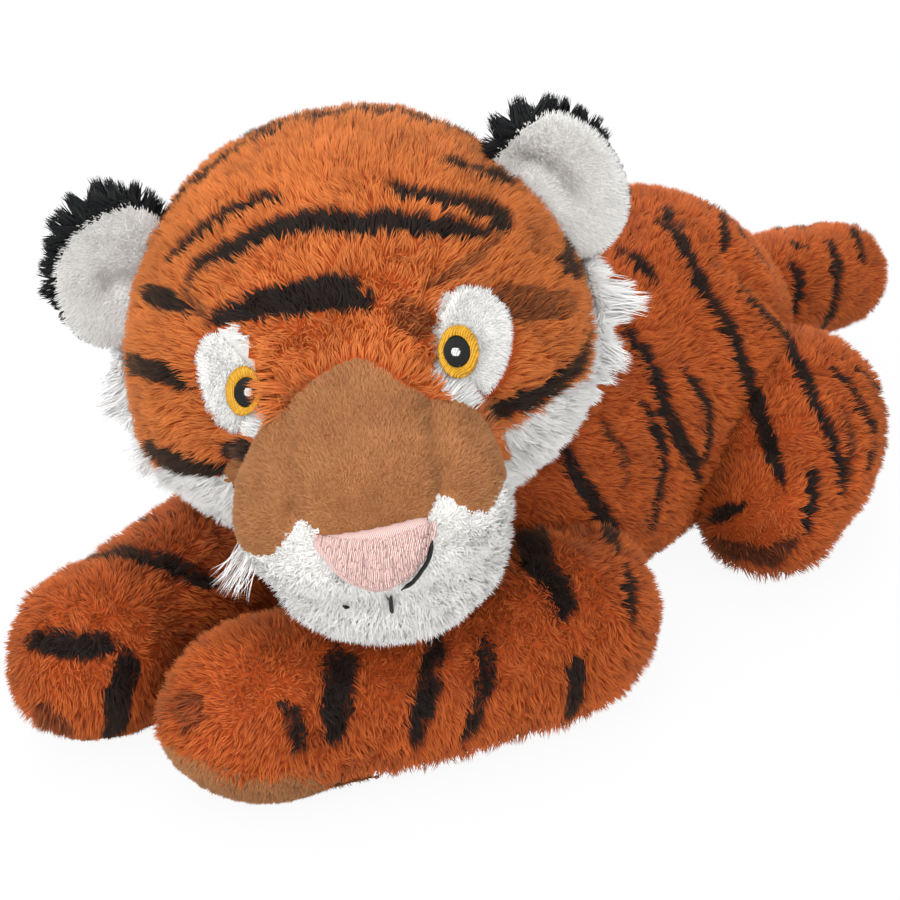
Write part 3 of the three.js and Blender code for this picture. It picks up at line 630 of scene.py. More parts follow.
class Pile:
    """Grows a pile of fine tapered tufts on a surface."""

    MOST_FACES = 196000
    SWEEP_SIZE = 5
    SWEEP = 0.6
    LEAST_RISE = 0.25
    SHORTEST = 0.78
    LENGTH_SPREAD = 0.4
    UNEVENNESS = 0.18
    UNEVEN_SIZE = 1.6
    PRINTED_AT = 0.75
    TONE_SPREAD = 0.4
    CLOUD = 0.7
    CLOUD_SIZE = 7

    def __init__(self, kind: PileKind, seed: int) -> None:
        """Takes the kind of pile and starts its draws."""
        self.kind = kind
        self.rng = np.random.default_rng(SEED * 100 + seed)
        self.seed = seed
        self.density = kind.density * 1.0

    def _roots(self, coat: Coat) -> Roots:
        """Roots spread evenly over a surface's weighted faces."""
        surface = coat.surface
        first, second, third = surface.places[surface.faces].transpose(1, 0, 2)
        area = np.linalg.norm(np.cross(second - first, third - first), axis=1) / 2
        total = np.cumsum(area * coat.weights[surface.faces].mean(axis=1))
        count = int(total[-1] * self.density)
        picks = (np.arange(count) + self.rng.random(count)) / count * total[-1]
        rows = np.clip(np.searchsorted(total, picks), 0, len(total) - 1)
        first, second = self.rng.random((2, count))
        spread = np.sqrt(first)
        shares = np.stack([1 - spread, spread * (1 - second), spread * second], axis=1)
        blank = np.zeros((count, 3))
        roots = Roots(blank, blank, surface.faces[rows], shares)
        roots = replace(roots, places=roots.value(surface.places), normals=unit(roots.value(surface.normals)))
        return roots if coat.within is None else roots.kept(roots.value(coat.within) > 0.5)

    def _heading(self, roots: Roots, nap: np.ndarray) -> np.ndarray:
        """The way in which each strand stands: along the nap, in tufts and a little by chance."""
        kind, places, normals = self.kind, roots.places, roots.normals
        along = roots.value(nap)
        along = unit(along - normals * dots(along, normals)[:, None])
        tufts = noise(places, kind.tuft_size, self.seed) * kind.tuft
        sweep = noise(places, kind.tuft_size * self.SWEEP_SIZE, self.seed + 9) * kind.tuft * self.SWEEP
        stray = self.rng.normal(0, kind.stray, (len(places), 3))
        heading = unit(normals + along * kind.lean + tufts + sweep + stray)
        low = self.LEAST_RISE - dots(heading, normals)
        return unit(heading + normals * np.maximum(0, low)[:, None])

    def _ends(self, roots: Roots, coat: Coat) -> np.ndarray:
        """Where each strand ends, above the floor, after neighbours are drawn together into locks."""
        kind, places = self.kind, roots.places
        heading = self._heading(roots, coat.nap)
        length = kind.length * (self.SHORTEST + self.LENGTH_SPREAD * self.rng.random(len(places)))
        length *= 1 + self.UNEVENNESS * wavering(places, kind.tuft_size * self.UNEVEN_SIZE, self.seed + 3)
        if coat.stretch is not None:
            length = length * roots.value(coat.stretch)
        ends = places + heading * length[:, None]
        if kind.gather:
            count = max(1, int(len(places) / (self.density * kind.lock**2)))
            middles = self.rng.choice(len(places), count, replace=False)
            tree = tree_of(places[middles], range(count))
            nearest = np.array([tree.find(place)[1] for place in places], int)
            ends = ends + (ends[middles[nearest]] - ends) * kind.gather
        ends[:, 2] = np.maximum(ends[:, 2], FLOOR_CLEARANCE)
        return ends

    def grow(self, name: str, coat: Coat) -> list:
        """Grows the pile.

        Args:
            name: the piece's name; a pile of more than one mesh adds a letter to it.
            coat: where it grows.

        Returns:
            The mesh objects, each with at most MOST_FACES faces.
        """
        kind = self.kind
        roots = self._roots(coat)
        places, normals = roots.places, roots.normals
        ways = self._ends(roots, coat) - places
        shown = places + ways * self.PRINTED_AT
        level = shown - normals * dots(shown - places, normals)[:, None] + normals * OUTER
        dark = coat.prints.at(level, self.seed) if coat.prints else np.zeros(len(places))
        cloud = wavering(places, self.CLOUD_SIZE, self.seed + 4) * self.CLOUD
        tone = np.clip(self.rng.normal(0, self.TONE_SPREAD, len(places)) + cloud, -1, 1)
        strands = Strands(places, unit(ways), normals, np.linalg.norm(ways, axis=1), dark, tone)
        width = kind.width * math.sqrt(kind.density / self.density)
        parts = max(1, math.ceil(len(places) / (self.MOST_FACES // kind.faces())))
        order = np.argsort(places[:, 1], kind="stable")
        objects = []
        for part, chosen in enumerate(np.array_split(order, parts)):
            label = name if parts == 1 else f"{name}_{'abcdefgh'[part]}"
            objects.append(strands.chosen(chosen).build(label, kind, width, self.rng))
        log.info("%s: %d strands in %d meshes", name, len(places), parts)
        return objects


@dataclass(frozen=True)
class Strands:
    """Arrays of tapered strands, ready to become a mesh."""

    roots: np.ndarray
    headings: np.ndarray
    normals: np.ndarray
    lengths: np.ndarray
    dark: np.ndarray
    tone: np.ndarray

    CURL_POWER = 1.5
    TAPER = 0.55
    SURFACE_LIGHT = 0.78
    LIGHT_SPREAD = 0.08

    def chosen(self, rows: np.ndarray) -> "Strands":
        """Only some of the strands."""
        return Strands(*(values[rows] for values in vars(self).values()))

    @staticmethod
    def _pattern(steps: int) -> np.ndarray:
        """The triangles of one closed, three-sided strand."""
        pattern = [(0, 2, 1)]
        for low in range(0, 3 * (steps - 1), 3):
            for corner in range(3):
                after = (corner + 1) % 3
                pattern.append((low + corner, low + after, low + 3 + after))
                pattern.append((low + corner, low + 3 + after, low + 3 + corner))
        top = 3 * (steps - 1)
        return np.array(pattern + [(top + corner, top + (corner + 1) % 3, top + 3) for corner in range(3)])

    def build(self, name: str, kind: PileKind, width: float, rng: np.random.Generator) -> bpy.types.Object:
        """Makes the mesh of closed, three-sided, tapered strands, with their attributes and soft normals.

        Args:
            name: the piece's name.
            kind: the pile's kind, for its steps and its curl.
            width: how thick a strand is at its root, in mm.
            rng: the pile's own random numbers.

        Returns:
            The new object.
        """
        count, steps = len(self.roots), kind.steps
        side = unit(np.cross(self.headings, self.normals) + 1e-4)
        other = np.cross(self.headings, side)
        turn = rng.random(count) * 2 * math.pi

        def outwards(angle: np.ndarray) -> np.ndarray:
            """Directions square to the strands, at angles round them."""
            return side * np.cos(angle)[:, None] + other * np.sin(angle)[:, None]

        def middle(share: float) -> np.ndarray:
            """Places on the strands' middles at a share of their length."""
            bend = curl * (self.lengths * (kind.curl * share**self.CURL_POWER))[:, None]
            return self.roots + self.headings * (self.lengths * share)[:, None] + bend

        curl = outwards(rng.random(count) * 2 * math.pi)
        per = 3 * steps + 1
        places = np.zeros((count, per, 3))
        reach = np.ones((count, per))
        for step in range(steps):
            share = step / steps
            radius = width / 2 * (1 - share * self.TAPER)
            for corner in range(3):
                offset = outwards(turn + corner * 2 * math.pi / 3)
                places[:, 3 * step + corner] = middle(share) + offset * radius
            reach[:, 3 * step : 3 * step + 3] = share
        places[:, -1] = middle(1)
        places[:, :, 2] = np.maximum(places[:, :, 2], HAIR_CLEARANCE)
        faces = (self._pattern(steps)[None] + (np.arange(count) * per)[:, None, None]).reshape(-1, 3)
        mesh = mesh_of(name, places.reshape(-1, 3), faces)
        lean = self.normals - self.headings * dots(self.headings, self.normals)[:, None]
        soft = self.normals * self.SURFACE_LIGHT + unit(lean) * (1 - self.SURFACE_LIGHT)
        soft = unit(soft + rng.normal(0, self.LIGHT_SPREAD, (count, 3)))
        mesh.normals_split_custom_set_from_vertices(np.repeat(soft, per, axis=0).tolist())
        keep_values(mesh, "reach", reach.reshape(-1))
        keep_values(mesh, "dark", np.repeat(self.dark, per))
        keep_values(mesh, "tone", np.repeat(self.tone, per))
        return placed(name, mesh)


def placed(name: str, data: bpy.types.ID) -> bpy.types.Object:
    """A new object of the scene."""
    thing = bpy.data.objects.new(name, data)
    bpy.context.scene.collection.objects.link(thing)
    return thing


def keep_values(mesh: bpy.types.Mesh, name: str, values: np.ndarray) -> None:
    """Keeps a number for each vertex of a mesh, which its material reads."""
    layer = mesh.attributes.new(name, "FLOAT", "POINT")
    layer.data.foreach_set("value", values.astype(np.float32))


def mesh_of(name: str, places: np.ndarray, faces: np.ndarray) -> bpy.types.Mesh:
    """A mesh of triangles from arrays, its places given in mm."""
    mesh = bpy.data.meshes.new(name)
    mesh.vertices.add(len(places))
    mesh.vertices.foreach_set("co", (places * MM).astype(np.float32).reshape(-1))
    mesh.loops.add(len(faces) * 3)
    mesh.loops.foreach_set("vertex_index", faces.astype(np.int32).reshape(-1))
    mesh.polygons.add(len(faces))
    mesh.polygons.foreach_set("loop_start", np.arange(0, len(faces) * 3, 3, dtype=np.int32))
    mesh.polygons.foreach_set("use_smooth", np.ones(len(faces), bool))
    mesh.update(calc_edges=True)
    return mesh


def ball_mesh(
    form: SoftForm | BlockForm, swell: float, fine: int, matrix: Matrix | None = None
) -> bmesh.types.BMesh:
    """A ball of faces moved on to a form.

    Args:
        form: the form to take.
        swell: how far its surface lies outside the form, in mm.
        fine: how many faces go round it.
        matrix: where the form's own frame lies, if it isn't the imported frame.

    Returns:
        A new bmesh whose places are in metres.
    """
    made = bmesh.new()
    bmesh.ops.create_uvsphere(made, u_segments=fine, v_segments=fine * 2 // 3, radius=1)
    made.verts.ensure_lookup_table()
    ball = unit(np.array([vert.co[:] for vert in made.verts]))
    places = form.points(ball, swell)
    for vert, place in zip(made.verts, places):
        there = Vector(place)
        vert.co = (matrix @ there if matrix is not None else there) * MM
    face_outwards(made)
    return made


def face_outwards(made: bmesh.types.BMesh) -> None:
    """Turns the faces of a closed bmesh so that they all look outwards."""
    bmesh.ops.recalc_face_normals(made, faces=made.faces)
    if made.calc_volume(signed=True) < 0:
        bmesh.ops.reverse_faces(made, faces=made.faces)


def object_of(name: str, made: bmesh.types.BMesh) -> bpy.types.Object:
    """A new object from a bmesh, which is freed."""
    mesh = bpy.data.meshes.new(name)
    made.to_mesh(mesh)
    made.free()
    mesh.shade_smooth()
    return placed(name, mesh)


def joined(parts: list) -> bmesh.types.BMesh:
    """Several bmeshes as one."""
    whole = bmesh.new()
    for part in parts:
        mesh = bpy.data.meshes.new("part")
        part.to_mesh(mesh)
        part.free()
        whole.from_mesh(mesh)
        bpy.data.meshes.remove(mesh)
    return whole


def node_copy(*names: str) -> bmesh.types.BMesh:
    """A merged copy of CAD nodes' meshes."""
    whole = bmesh.new()
    for name in names:
        whole.from_mesh(frame["nodes"][name].data)
    bmesh.ops.remove_doubles(whole, verts=whole.verts, dist=0.02 * MM)
    return whole


def remeshed(name: str, made: bmesh.types.BMesh, voxel: float, smoothing: int) -> bpy.types.Object:
    """One closed skin round everything in a bmesh, smoothed.

    Args:
        name: the object's name.
        made: the forms to wrap, freed here.
        voxel: the size of the new faces, in mm.
        smoothing: how many rounds of smoothing follow.

    Returns:
        The new object.
    """
    piece = object_of(name, made)
    modifier = piece.modifiers.new("wrap", "REMESH")
    modifier.mode = "VOXEL"
    modifier.voxel_size = voxel * MM
    settle(piece)
    work = bmesh.new()
    work.from_mesh(piece.data)
    for _round in range(smoothing):
        every_axis = {"use_axis_x": True, "use_axis_y": True, "use_axis_z": True}
        bmesh.ops.smooth_vert(work, verts=work.verts, factor=0.5, **every_axis)
    work.to_mesh(piece.data)
    work.free()
    piece.data.shade_smooth()
    return piece


def settle(piece: bpy.types.Object) -> None:
    """Applies a piece's modifiers to its mesh."""
    evaluated = piece.evaluated_get(bpy.context.evaluated_depsgraph_get())
    mesh = bpy.data.meshes.new_from_object(evaluated)
    piece.modifiers.clear()
    piece.data = mesh
    mesh.shade_smooth()

def moved(piece: bpy.types.Object, places: np.ndarray) -> Surface:
    """Moves a piece's vertices.

    Args:
        piece: the piece.
        places: the vertices' new places, in mm.

    Returns:
        The piece's surface as it is then.
    """
    piece.data.vertices.foreach_set("co", (places * MM).astype(np.float32).reshape(-1))
    piece.data.update()
    return Surface.of(piece.data)


@dataclass(frozen=True)
class Crease:
    """A sewn or folded line: its course in the photograph, how deep it goes and how wide it is, in mm."""

    course: tuple
    depth: float
    width: float


def carve(piece: bpy.types.Object, creases: tuple, wrinkle: float, wrinkle_size: float, seed: int) -> Surface:
    """Presses creases into a form and gives it the slight unevenness of stuffing.

    Args:
        piece: the form.
        creases: the creases.
        wrinkle: how deep the unevenness is, in mm.
        wrinkle_size: how far apart its hollows lie, in mm.
        seed: where they lie.

    Returns:
        The form's surface as it is then.
    """
    surface = Surface.of(piece.data)
    depth = wavering(surface.places, wrinkle_size, seed) * wrinkle
    tree = surface.tree()
    for crease in creases:
        line = VIEWFINDER.cast(tree, drawn(crease.course, 4))
        line = line[~np.isnan(line[:, 0])]
        if not len(line):
            log.warning("a crease misses %s", piece.name)
            continue
        away = np.min(np.linalg.norm(surface.places[:, None] - line[None], axis=2), axis=1)
        depth -= crease.depth * np.exp(-((away / crease.width) ** 2))
    return moved(piece, surface.places + surface.normals * depth[:, None])


def linear(colour: tuple) -> tuple:
    """A colour read from the screen as the light that it stands for, with alpha."""
    parts = [part / 255 for part in colour]
    light = [part / 12.92 if part <= 0.04045 else ((part + 0.055) / 1.055) ** 2.4 for part in parts]
    return (*light, 1.0)


class NodeWork:
    """Adds nodes to a node tree and feeds their inputs."""

    COLOUR_MIX = {"share": 0, "low": 6, "high": 7, "out": 2}

    def __init__(self, tree: bpy.types.NodeTree) -> None:
        """Takes the tree's nodes and links."""
        self.nodes = tree.nodes
        self.links = tree.links

    def feed(self, node: bpy.types.Node, inputs: dict) -> None:
        """Sets a node's inputs to values, or links them to the outputs of other nodes.

        Args:
            node: the node.
            inputs: what goes into each input, by its name or number.
        """
        for key, value in inputs.items():
            if isinstance(value, bpy.types.NodeSocket):
                self.links.new(value, node.inputs[key])
            else:
                node.inputs[key].default_value = value

    def add(self, kind: str, inputs: dict | None = None, output: str | int = 0, **settings: str) -> object:
        """Adds a node.

        Args:
            kind: the node's kind.
            inputs: what goes into each input.
            output: the output that is wanted, by its name or number.
            settings: the node's own settings.

        Returns:
            The wanted output.
        """
        node = self.nodes.new(f"ShaderNode{kind}")
        for key, value in settings.items():
            setattr(node, key, value)
        self.feed(node, inputs or {})
        return node.outputs[output]

    def kept(self, name: str) -> bpy.types.NodeSocket:
        """A number that the mesh keeps at each vertex."""
        return self.add("Attribute", output="Fac", attribute_name=name)

    def texture(self, kind: str, inputs: dict) -> bpy.types.NodeSocket:
        """A texture's strength at the object's own places."""
        place = self.add("TexCoord", output="Object")
        return self.add(kind, {"Vector": place, **inputs}, "Fac")

    def mix(self, low: object, high: object, share: object) -> bpy.types.NodeSocket:
        """A blend of two colours or outputs."""
        at = self.COLOUR_MIX
        inputs = {at["share"]: share, at["low"]: low, at["high"]: high}
        return self.add("Mix", inputs, at["out"], data_type="RGBA")

    def scaled(self, value: object, factor: float, offset: object) -> bpy.types.NodeSocket:
        """A number times a factor, plus another."""
        return self.add("Math", {0: value, 1: factor, 2: offset}, "Value", operation="MULTIPLY_ADD")

    def brightened(self, colour: object, brightness: object) -> bpy.types.NodeSocket:
        """A colour times a brightness."""
        return self.add("HueSaturation", {"Color": colour, "Value": brightness}, "Color")


@dataclass(frozen=True)
class Finish:
    """What a piece is made of, with the record's slot that it goes by."""

    name: str
    slot: Slot

    @functools.cache
    def material(self) -> bpy.types.Material:
        """The node material, made when it is first asked for."""
        material = bpy.data.materials.new(self.name)
        material.use_nodes = True
        work = NodeWork(material.node_tree)
        work.feed(work.nodes["Principled BSDF"], self.look(work))
        return material

    def look(self, work: NodeWork) -> dict:
        """What goes into the material's shader."""
        raise NotImplementedError


@dataclass(frozen=True)
class PileFinish(Finish):
    """A pile fabric in screen colours: mottled, printed, and darker at its roots, a painted shade deep in the
    pile.
    """

    # The roots' colours are darker than the tips': painted shade deep in the pile.
    root: tuple
    tip: tuple
    print_root: tuple = (14, 10, 8)
    print_tip: tuple = (38, 27, 22)
    mottle: float = 0.13
    mottle_size: float = 0.009
    roughness: float = 0.72
    sheen: float = 0.3
    specular: float = 0.25
    sheen_roughness: float = 0.5

    def look(self, work: NodeWork) -> dict:
        """What goes into the material's shader."""
        reach, dark, tone = work.kept("reach"), work.kept("dark"), work.kept("tone")
        cloud = work.texture("TexNoise", {"Scale": 1 / self.mottle_size, "Detail": 2})
        plain = work.mix(linear(self.root), linear(self.tip), reach)
        printed = work.mix(linear(self.print_root), linear(self.print_tip), reach)
        limits = {"Value": cloud, "To Min": 1 - self.mottle, "To Max": 1 + self.mottle}
        clouded = work.add("MapRange", limits, "Result")
        colour = work.brightened(work.mix(plain, printed, dark), work.scaled(tone, self.mottle, clouded))
        return {
            "Base Color": colour,
            "Roughness": self.roughness,
            "Specular IOR Level": self.specular,
            "Sheen Weight": self.sheen,
            "Sheen Roughness": self.sheen_roughness,
            "Sheen Tint": linear(tuple((part * 2 + 255) / 3 for part in self.tip)),
        }


@dataclass(frozen=True)
class ClothFinish(Finish):
    """The knitted backing under a pile, printed like it."""

    colour: tuple
    print_colour: tuple = (30, 21, 19)
    shade: float = 0.84
    grain: float = 1400
    depth: float = 0.4 * MM

    def look(self, work: NodeWork) -> dict:
        """What goes into the material's shader."""
        grain = work.texture("TexNoise", {"Scale": self.grain, "Detail": 3})
        # The grain's low parts, which the bump sinks, are darker: painted shade in the knit's hollows.
        plain = work.mix(linear(tuple(part * self.shade for part in self.colour)), linear(self.colour), grain)
        return {
            "Base Color": work.mix(plain, linear(self.print_colour), work.kept("dark")),
            "Normal": work.add("Bump", {"Height": grain, "Distance": self.depth, "Strength": 0.6}, "Normal"),
            "Roughness": 0.9,
            "Specular IOR Level": 0.15,
        }


@dataclass(frozen=True)
class ThreadFinish(Finish):
    """Shiny embroidery thread with fine twists."""

    colour: tuple
    roughness: float = 0.42
    shade: float = 0.7
    twists: float = 900
    sway: float = 0.2

    def look(self, work: NodeWork) -> dict:
        """What goes into the material's shader."""
        twist = work.texture("TexWave", {"Scale": self.twists, "Distortion": 1.5})
        # The twist's darker bands are painted shade in the grooves between its plies.
        plain = work.mix(linear(tuple(part * self.shade for part in self.colour)), linear(self.colour), twist)
        return {
            "Base Color": work.brightened(plain, work.scaled(work.kept("tone"), self.sway, 1.0)),
            "Roughness": self.roughness,
            "Specular IOR Level": 0.3,
        }


ORANGE = PileFinish("orange_pile", Slot.ORANGE, (152, 58, 17), (216, 110, 46), mottle=0.22, sheen=0.25)
# The head's orange is a lighter, more golden copy of the body's: a painted sheen where the head catches the
# light.
HEAD_ORANGE_PAINTED_SHEEN = PileFinish("head_pile", Slot.ORANGE, (172, 78, 26), (222, 129, 63), mottle=0.19, sheen=0.25)
WHITE = PileFinish("white_pile", Slot.WHITE, (224, 222, 218), (244, 243, 241), mottle=0.04, sheen=0.1)
# A lighter copy of the white pile: painted light on the eye patches, round the eyes and on the cheek ruffs.
LIT_WHITE = PileFinish("bright_pile", Slot.WHITE, (240, 239, 237), (251, 250, 249), mottle=0.02, sheen=0.1)
TAN = PileFinish(
    "tan_pile", Slot.TAN, (154, 98, 57), (182, 127, 82), mottle=0.17, mottle_size=0.004, sheen=0.2
)
BLACK = PileFinish("black_pile", Slot.BLACK, (5, 7, 8), (20, 25, 27), mottle=0.2, sheen=0.05, roughness=0.6)
ORANGE_BACKING = ClothFinish("orange_backing", Slot.ORANGE, (182, 80, 30))
WHITE_BACKING = ClothFinish("white_backing", Slot.WHITE, (226, 224, 220))
TAN_BACKING = ClothFinish("tan_backing", Slot.TAN, (164, 108, 66))
BLACK_BACKING = ClothFinish("black_backing", Slot.BLACK, (16, 18, 19))
GOLD_THREAD = ThreadFinish("gold_stitching", Slot.GOLD, (226, 166, 30))
BLACK_THREAD = ThreadFinish("black_stitching", Slot.BLACK_THREAD, (9, 9, 9), 0.55)
WHITE_THREAD = ThreadFinish("white_stitching", Slot.WHITE_THREAD, (236, 236, 234))
PINK_THREAD = ThreadFinish("pink_stitching", Slot.PINK, (228, 192, 186), 0.7)


@dataclass(frozen=True)
class Home:
    """A piece's place in the frame: its body, its finish, the CAD nodes that it stands for and its fill,
    which is not used.

    A bend holds the parent body and the places in mm where the piece would bend; they are not used, and the
    piece's transform is only baked into its mesh.
    """

    body: str
    finish: Finish
    nodes: tuple = ()
    fill: float | None = None
    bend: tuple | None = None

    def declare(self, piece: bpy.types.Object) -> None:
        """Gives a piece its material and its place in the frame."""
        piece.data.materials.clear()
        piece.data.materials.append(self.finish.material())
        if self.bend is None:
            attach(piece, self.body)
        else:
            parent, start, end = self.bend
            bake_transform(piece)
        if self.nodes:
            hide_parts(*self.nodes)
        log.info("piece %s on %s", piece.name, self.body)


def plant(name: str, kind: PileKind, seed: int, coat: Coat, home: Home) -> None:
    """Grows a pile and declares its pieces.

    Args:
        name: the pile's name.
        kind: its kind.
        seed: its random numbers.
        coat: where it grows.
        home: its place in the frame; the first piece stands for the CAD nodes.
    """
    for number, piece in enumerate(Pile(kind, seed).grow(name, coat)):
        (home if number == 0 else replace(home, nodes=())).declare(piece)


@dataclass(frozen=True)
class Places:
    """The joints' places and the frames that hang on them, in mm."""

    shift: np.ndarray
    pivots: dict
    head: Matrix
    ears: dict

    @classmethod
    def of_frame(cls) -> "Places":
        """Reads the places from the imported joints."""
        pivots = {joint["name"]: np.array(joint["pos_m"]) / MM for joint in frame["joints"]}
        shift = pivots["head_turn"] - np.array(NECK)
        tip, lean, turn = (math.radians(angle) for angle in HEAD_ANGLES)
        spin = Matrix.Rotation(turn, 4, "Z") @ Matrix.Rotation(lean, 4, "Y") @ Matrix.Rotation(tip, 4, "X")
        head = Matrix.Translation(Vector(pivots["head_turn"] + np.array(HEAD_FROM_NECK))) @ spin
        ears = {side: head @ cls._ear(sign) for side, sign in (("left", 1), ("right", -1))}
        return cls(shift, pivots, head, ears)

    @property
    def head_turn(self) -> np.ndarray:
        """How the head's own frame is turned."""
        return np.array(self.head.to_3x3())

    def off_head(self, places: np.ndarray) -> np.ndarray:
        """Directions from the middle of the head to places."""
        return unit(places - np.array(self.head.translation))

    def head_limits(self) -> list:
        """The head's frame at the limits of its joints."""
        moves = {name: [Matrix.Identity(4)] for name in ("head_turn", "head_nod")}
        for joint in frame["joints"]:
            if joint["name"] in moves:
                pivot = Matrix.Translation(Vector(self.pivots[joint["name"]]))
                for angle in filter(None, joint["range_deg"]):
                    spin = Matrix.Rotation(math.radians(angle), 4, Vector(joint["axis"]))
                    moves[joint["name"]].append(pivot @ spin @ pivot.inverted())
        return [turn @ nod @ self.head for turn in moves["head_turn"] for nod in moves["head_nod"]][1:]

    @staticmethod
    def _ear(side: int) -> Matrix:
        """An ear's own frame on the head: outwards, backwards, and along its seam."""
        lift = math.asin(EAR_LIFT / math.hypot(EAR_LIFT, HEAD_SIZE[0] / 2))
        radial = Vector((side * math.cos(lift), 0, math.sin(lift)))
        base = Vector((0, EAR_BACK, 0)) + radial * (HEAD_SIZE[0] / 2 * EAR_SEAT_SHARE)
        away = Vector((0, 1, 0))
        along = radial.cross(away)
        matrix = Matrix((radial, away, along)).transposed().to_4x4()
        return Matrix.Translation(base) @ matrix


PLACES = Places.of_frame()


@dataclass(frozen=True)
class LegPlan:
    """What one leg is made from: the side that it leans to, its sizes and its shares."""

    side: int
    size: tuple
    spine: tuple
    sections: tuple
    seed: int


LEGS = {
    "foreleg_left": LegPlan(1, FORELEG_SIZE, LEFT_FORELEG_SPINE_SHARES, FORELEG_SECTION_SHARES, 2),
    "foreleg_right": LegPlan(-1, FORELEG_SIZE, RIGHT_FORELEG_SPINE_SHARES, FORELEG_SECTION_SHARES, 3),
    "hind_leg_left": LegPlan(1, HIND_LEG_SIZE, HIND_LEG_SPINE_SHARES, HIND_LEG_SECTION_SHARES, 4),
    "hind_leg_right": LegPlan(-1, HIND_LEG_SIZE, HIND_LEG_SPINE_SHARES, HIND_LEG_SECTION_SHARES, 5),
}


def torso_form() -> SoftForm:
    """The torso's form."""
    width, length, height = TORSO_SIZE
    spine = tuple(
        (RUMP_SHIFT * sideways, length * along - CHEST_REACH, height * lift - FLOOR_SINK)
        for along, sideways, lift in TORSO_SPINE_SHARES
    )
    return SoftForm(tuple(PLACES.shift), spine, width, height, TORSO_SECTION_SHARES, BELLY_ROUND_SHARE)


def leg_form(name: str) -> SoftForm:
    """A leg's form, resting on the floor."""
    plan = LEGS[name]
    width, length, height = plan.size
    pivot = PLACES.pivots[f"{name}_swing"]
    spine = tuple(
        (plan.side * length * out, -length * forward, height * lift - FLOOR_SINK - pivot[2])
        for out, forward, lift in plan.spine
    )
    return SoftForm(tuple(pivot), spine, width, height, plan.sections)


def tail_form() -> SoftForm:
    """The tail's form."""
    width, length, height = TAIL_SIZE
    spine = tuple(tuple(part * length for part in row) for row in TAIL_SPINE_SHARES)
    return SoftForm(tuple(PLACES.pivots["tail_swing"]), spine, width, height, TAIL_SECTION_SHARES)


@dataclass
class Limb:
    """A stuffed limb or the torso, in printed orange plush."""

    name: str
    form: SoftForm
    fine: int
    seed: int
    cover_pressed: float = 0.35
    pressed_floor: float = 3.0
    hidden_depth: float = 2.0
    under_normal: float = -0.6
    under_height: int = 9
    under_weight: float = 0.15
    downwards: tuple = (0, 0, -0.25)
    cover: bpy.types.Object = field(init=False)
    surface: Surface = field(init=False)
    prints: StripePrint = field(init=False, default_factory=StripePrint)

    def __post_init__(self) -> None:
        """Makes the cover."""
        self.cover = object_of(f"{self.name}_cover", ball_mesh(self.form, COVER_INSET, self.fine))
        self.surface = Surface.of(self.cover.data)

    def carve(self, creases: tuple = ()) -> None:
        """Presses the creases in."""
        self.surface = carve(self.cover, creases, 0.7, 17.0, self.seed)

    def keep_off(self, matrix: Matrix, form: BlockForm, gap: float) -> None:
        """Presses the cover in where another form lies against it.

        Args:
            matrix: where the other form lies.
            form: the other form, in its own frame.
            gap: how far off it the cover is kept, in mm.
        """
        inverse = matrix.inverted()
        half = np.array(form.size) / 2 + gap
        places = self.surface.places.copy()
        local = np.array([list(inverse @ Vector(place)) for place in places])
        parts = (np.abs(local / half) ** (2 / form.round_share)).sum(axis=1) ** (form.round_share / 2)
        inside = parts < 1
        if inside.any():
            local[inside] /= np.maximum(parts[inside], self.cover_pressed)[:, None]
            places[inside] = [list(matrix @ Vector(place)) for place in local[inside]]
            places[:, 2] = np.maximum(places[:, 2], self.pressed_floor)
            self.surface = moved(self.cover, places)

    def rings(self, rings: tuple) -> None:
        """Prints stripes that run round the form, on the side that the photograph hides."""
        tree = self.surface.tree(OUTER)
        for number, row in enumerate(rings):
            self.prints.ring(self.form, tree, row, self.seed * 10 + number)

    def cast(self, stripes: tuple, mirrored: bool = False) -> None:
        """Prints stripes that the photograph shows."""
        self.prints.cast(stripes, self.surface.tree(OUTER), mirrored)

    def dress(
        self,
        neighbours: tuple,
        home: Home,
        nap: np.ndarray | None = None,
        bare: np.ndarray | None = None,
        stretch: np.ndarray | None = None,
    ) -> None:
        """Args:
            neighbours: the surfaces that may hide a part of this one.
            home: the cover's place in the frame.
            nap: the way in which the pile lies at each vertex, if not along the form.
            bare: the vertices without pile, if any.
            stretch: how long the pile is at each vertex, as a share of its kind's length.
        """
        places = self.surface.places.copy()
        places[:, 2] = np.maximum(places[:, 2], FLOOR_CLEARANCE)
        self.surface = moved(self.cover, places)
        places, normals = self.surface.places, self.surface.normals
        weights = np.ones(len(places))
        for other in neighbours:
            weights[self.surface.depth_in(other) > self.hidden_depth] = 0
        under = (normals[:, 2] < self.under_normal) & (places[:, 2] < self.under_height)
        weights[under] = np.minimum(weights[under], self.under_weight)
        if bare is not None:
            weights[bare] = 0
        keep_values(self.cover.data, "dark", self.prints.at(places + normals * OUTER, self.seed, 0.05))
        lie = self.form.nap(places) if nap is None else nap
        coat = Coat(self.surface, weights, unit(lie + np.array(self.downwards)), self.prints, stretch)
        home.declare(self.cover)
        plant(f"{self.name}_pile", ORANGE_PILE, self.seed, coat, Home(home.body, ORANGE, bend=home.bend))


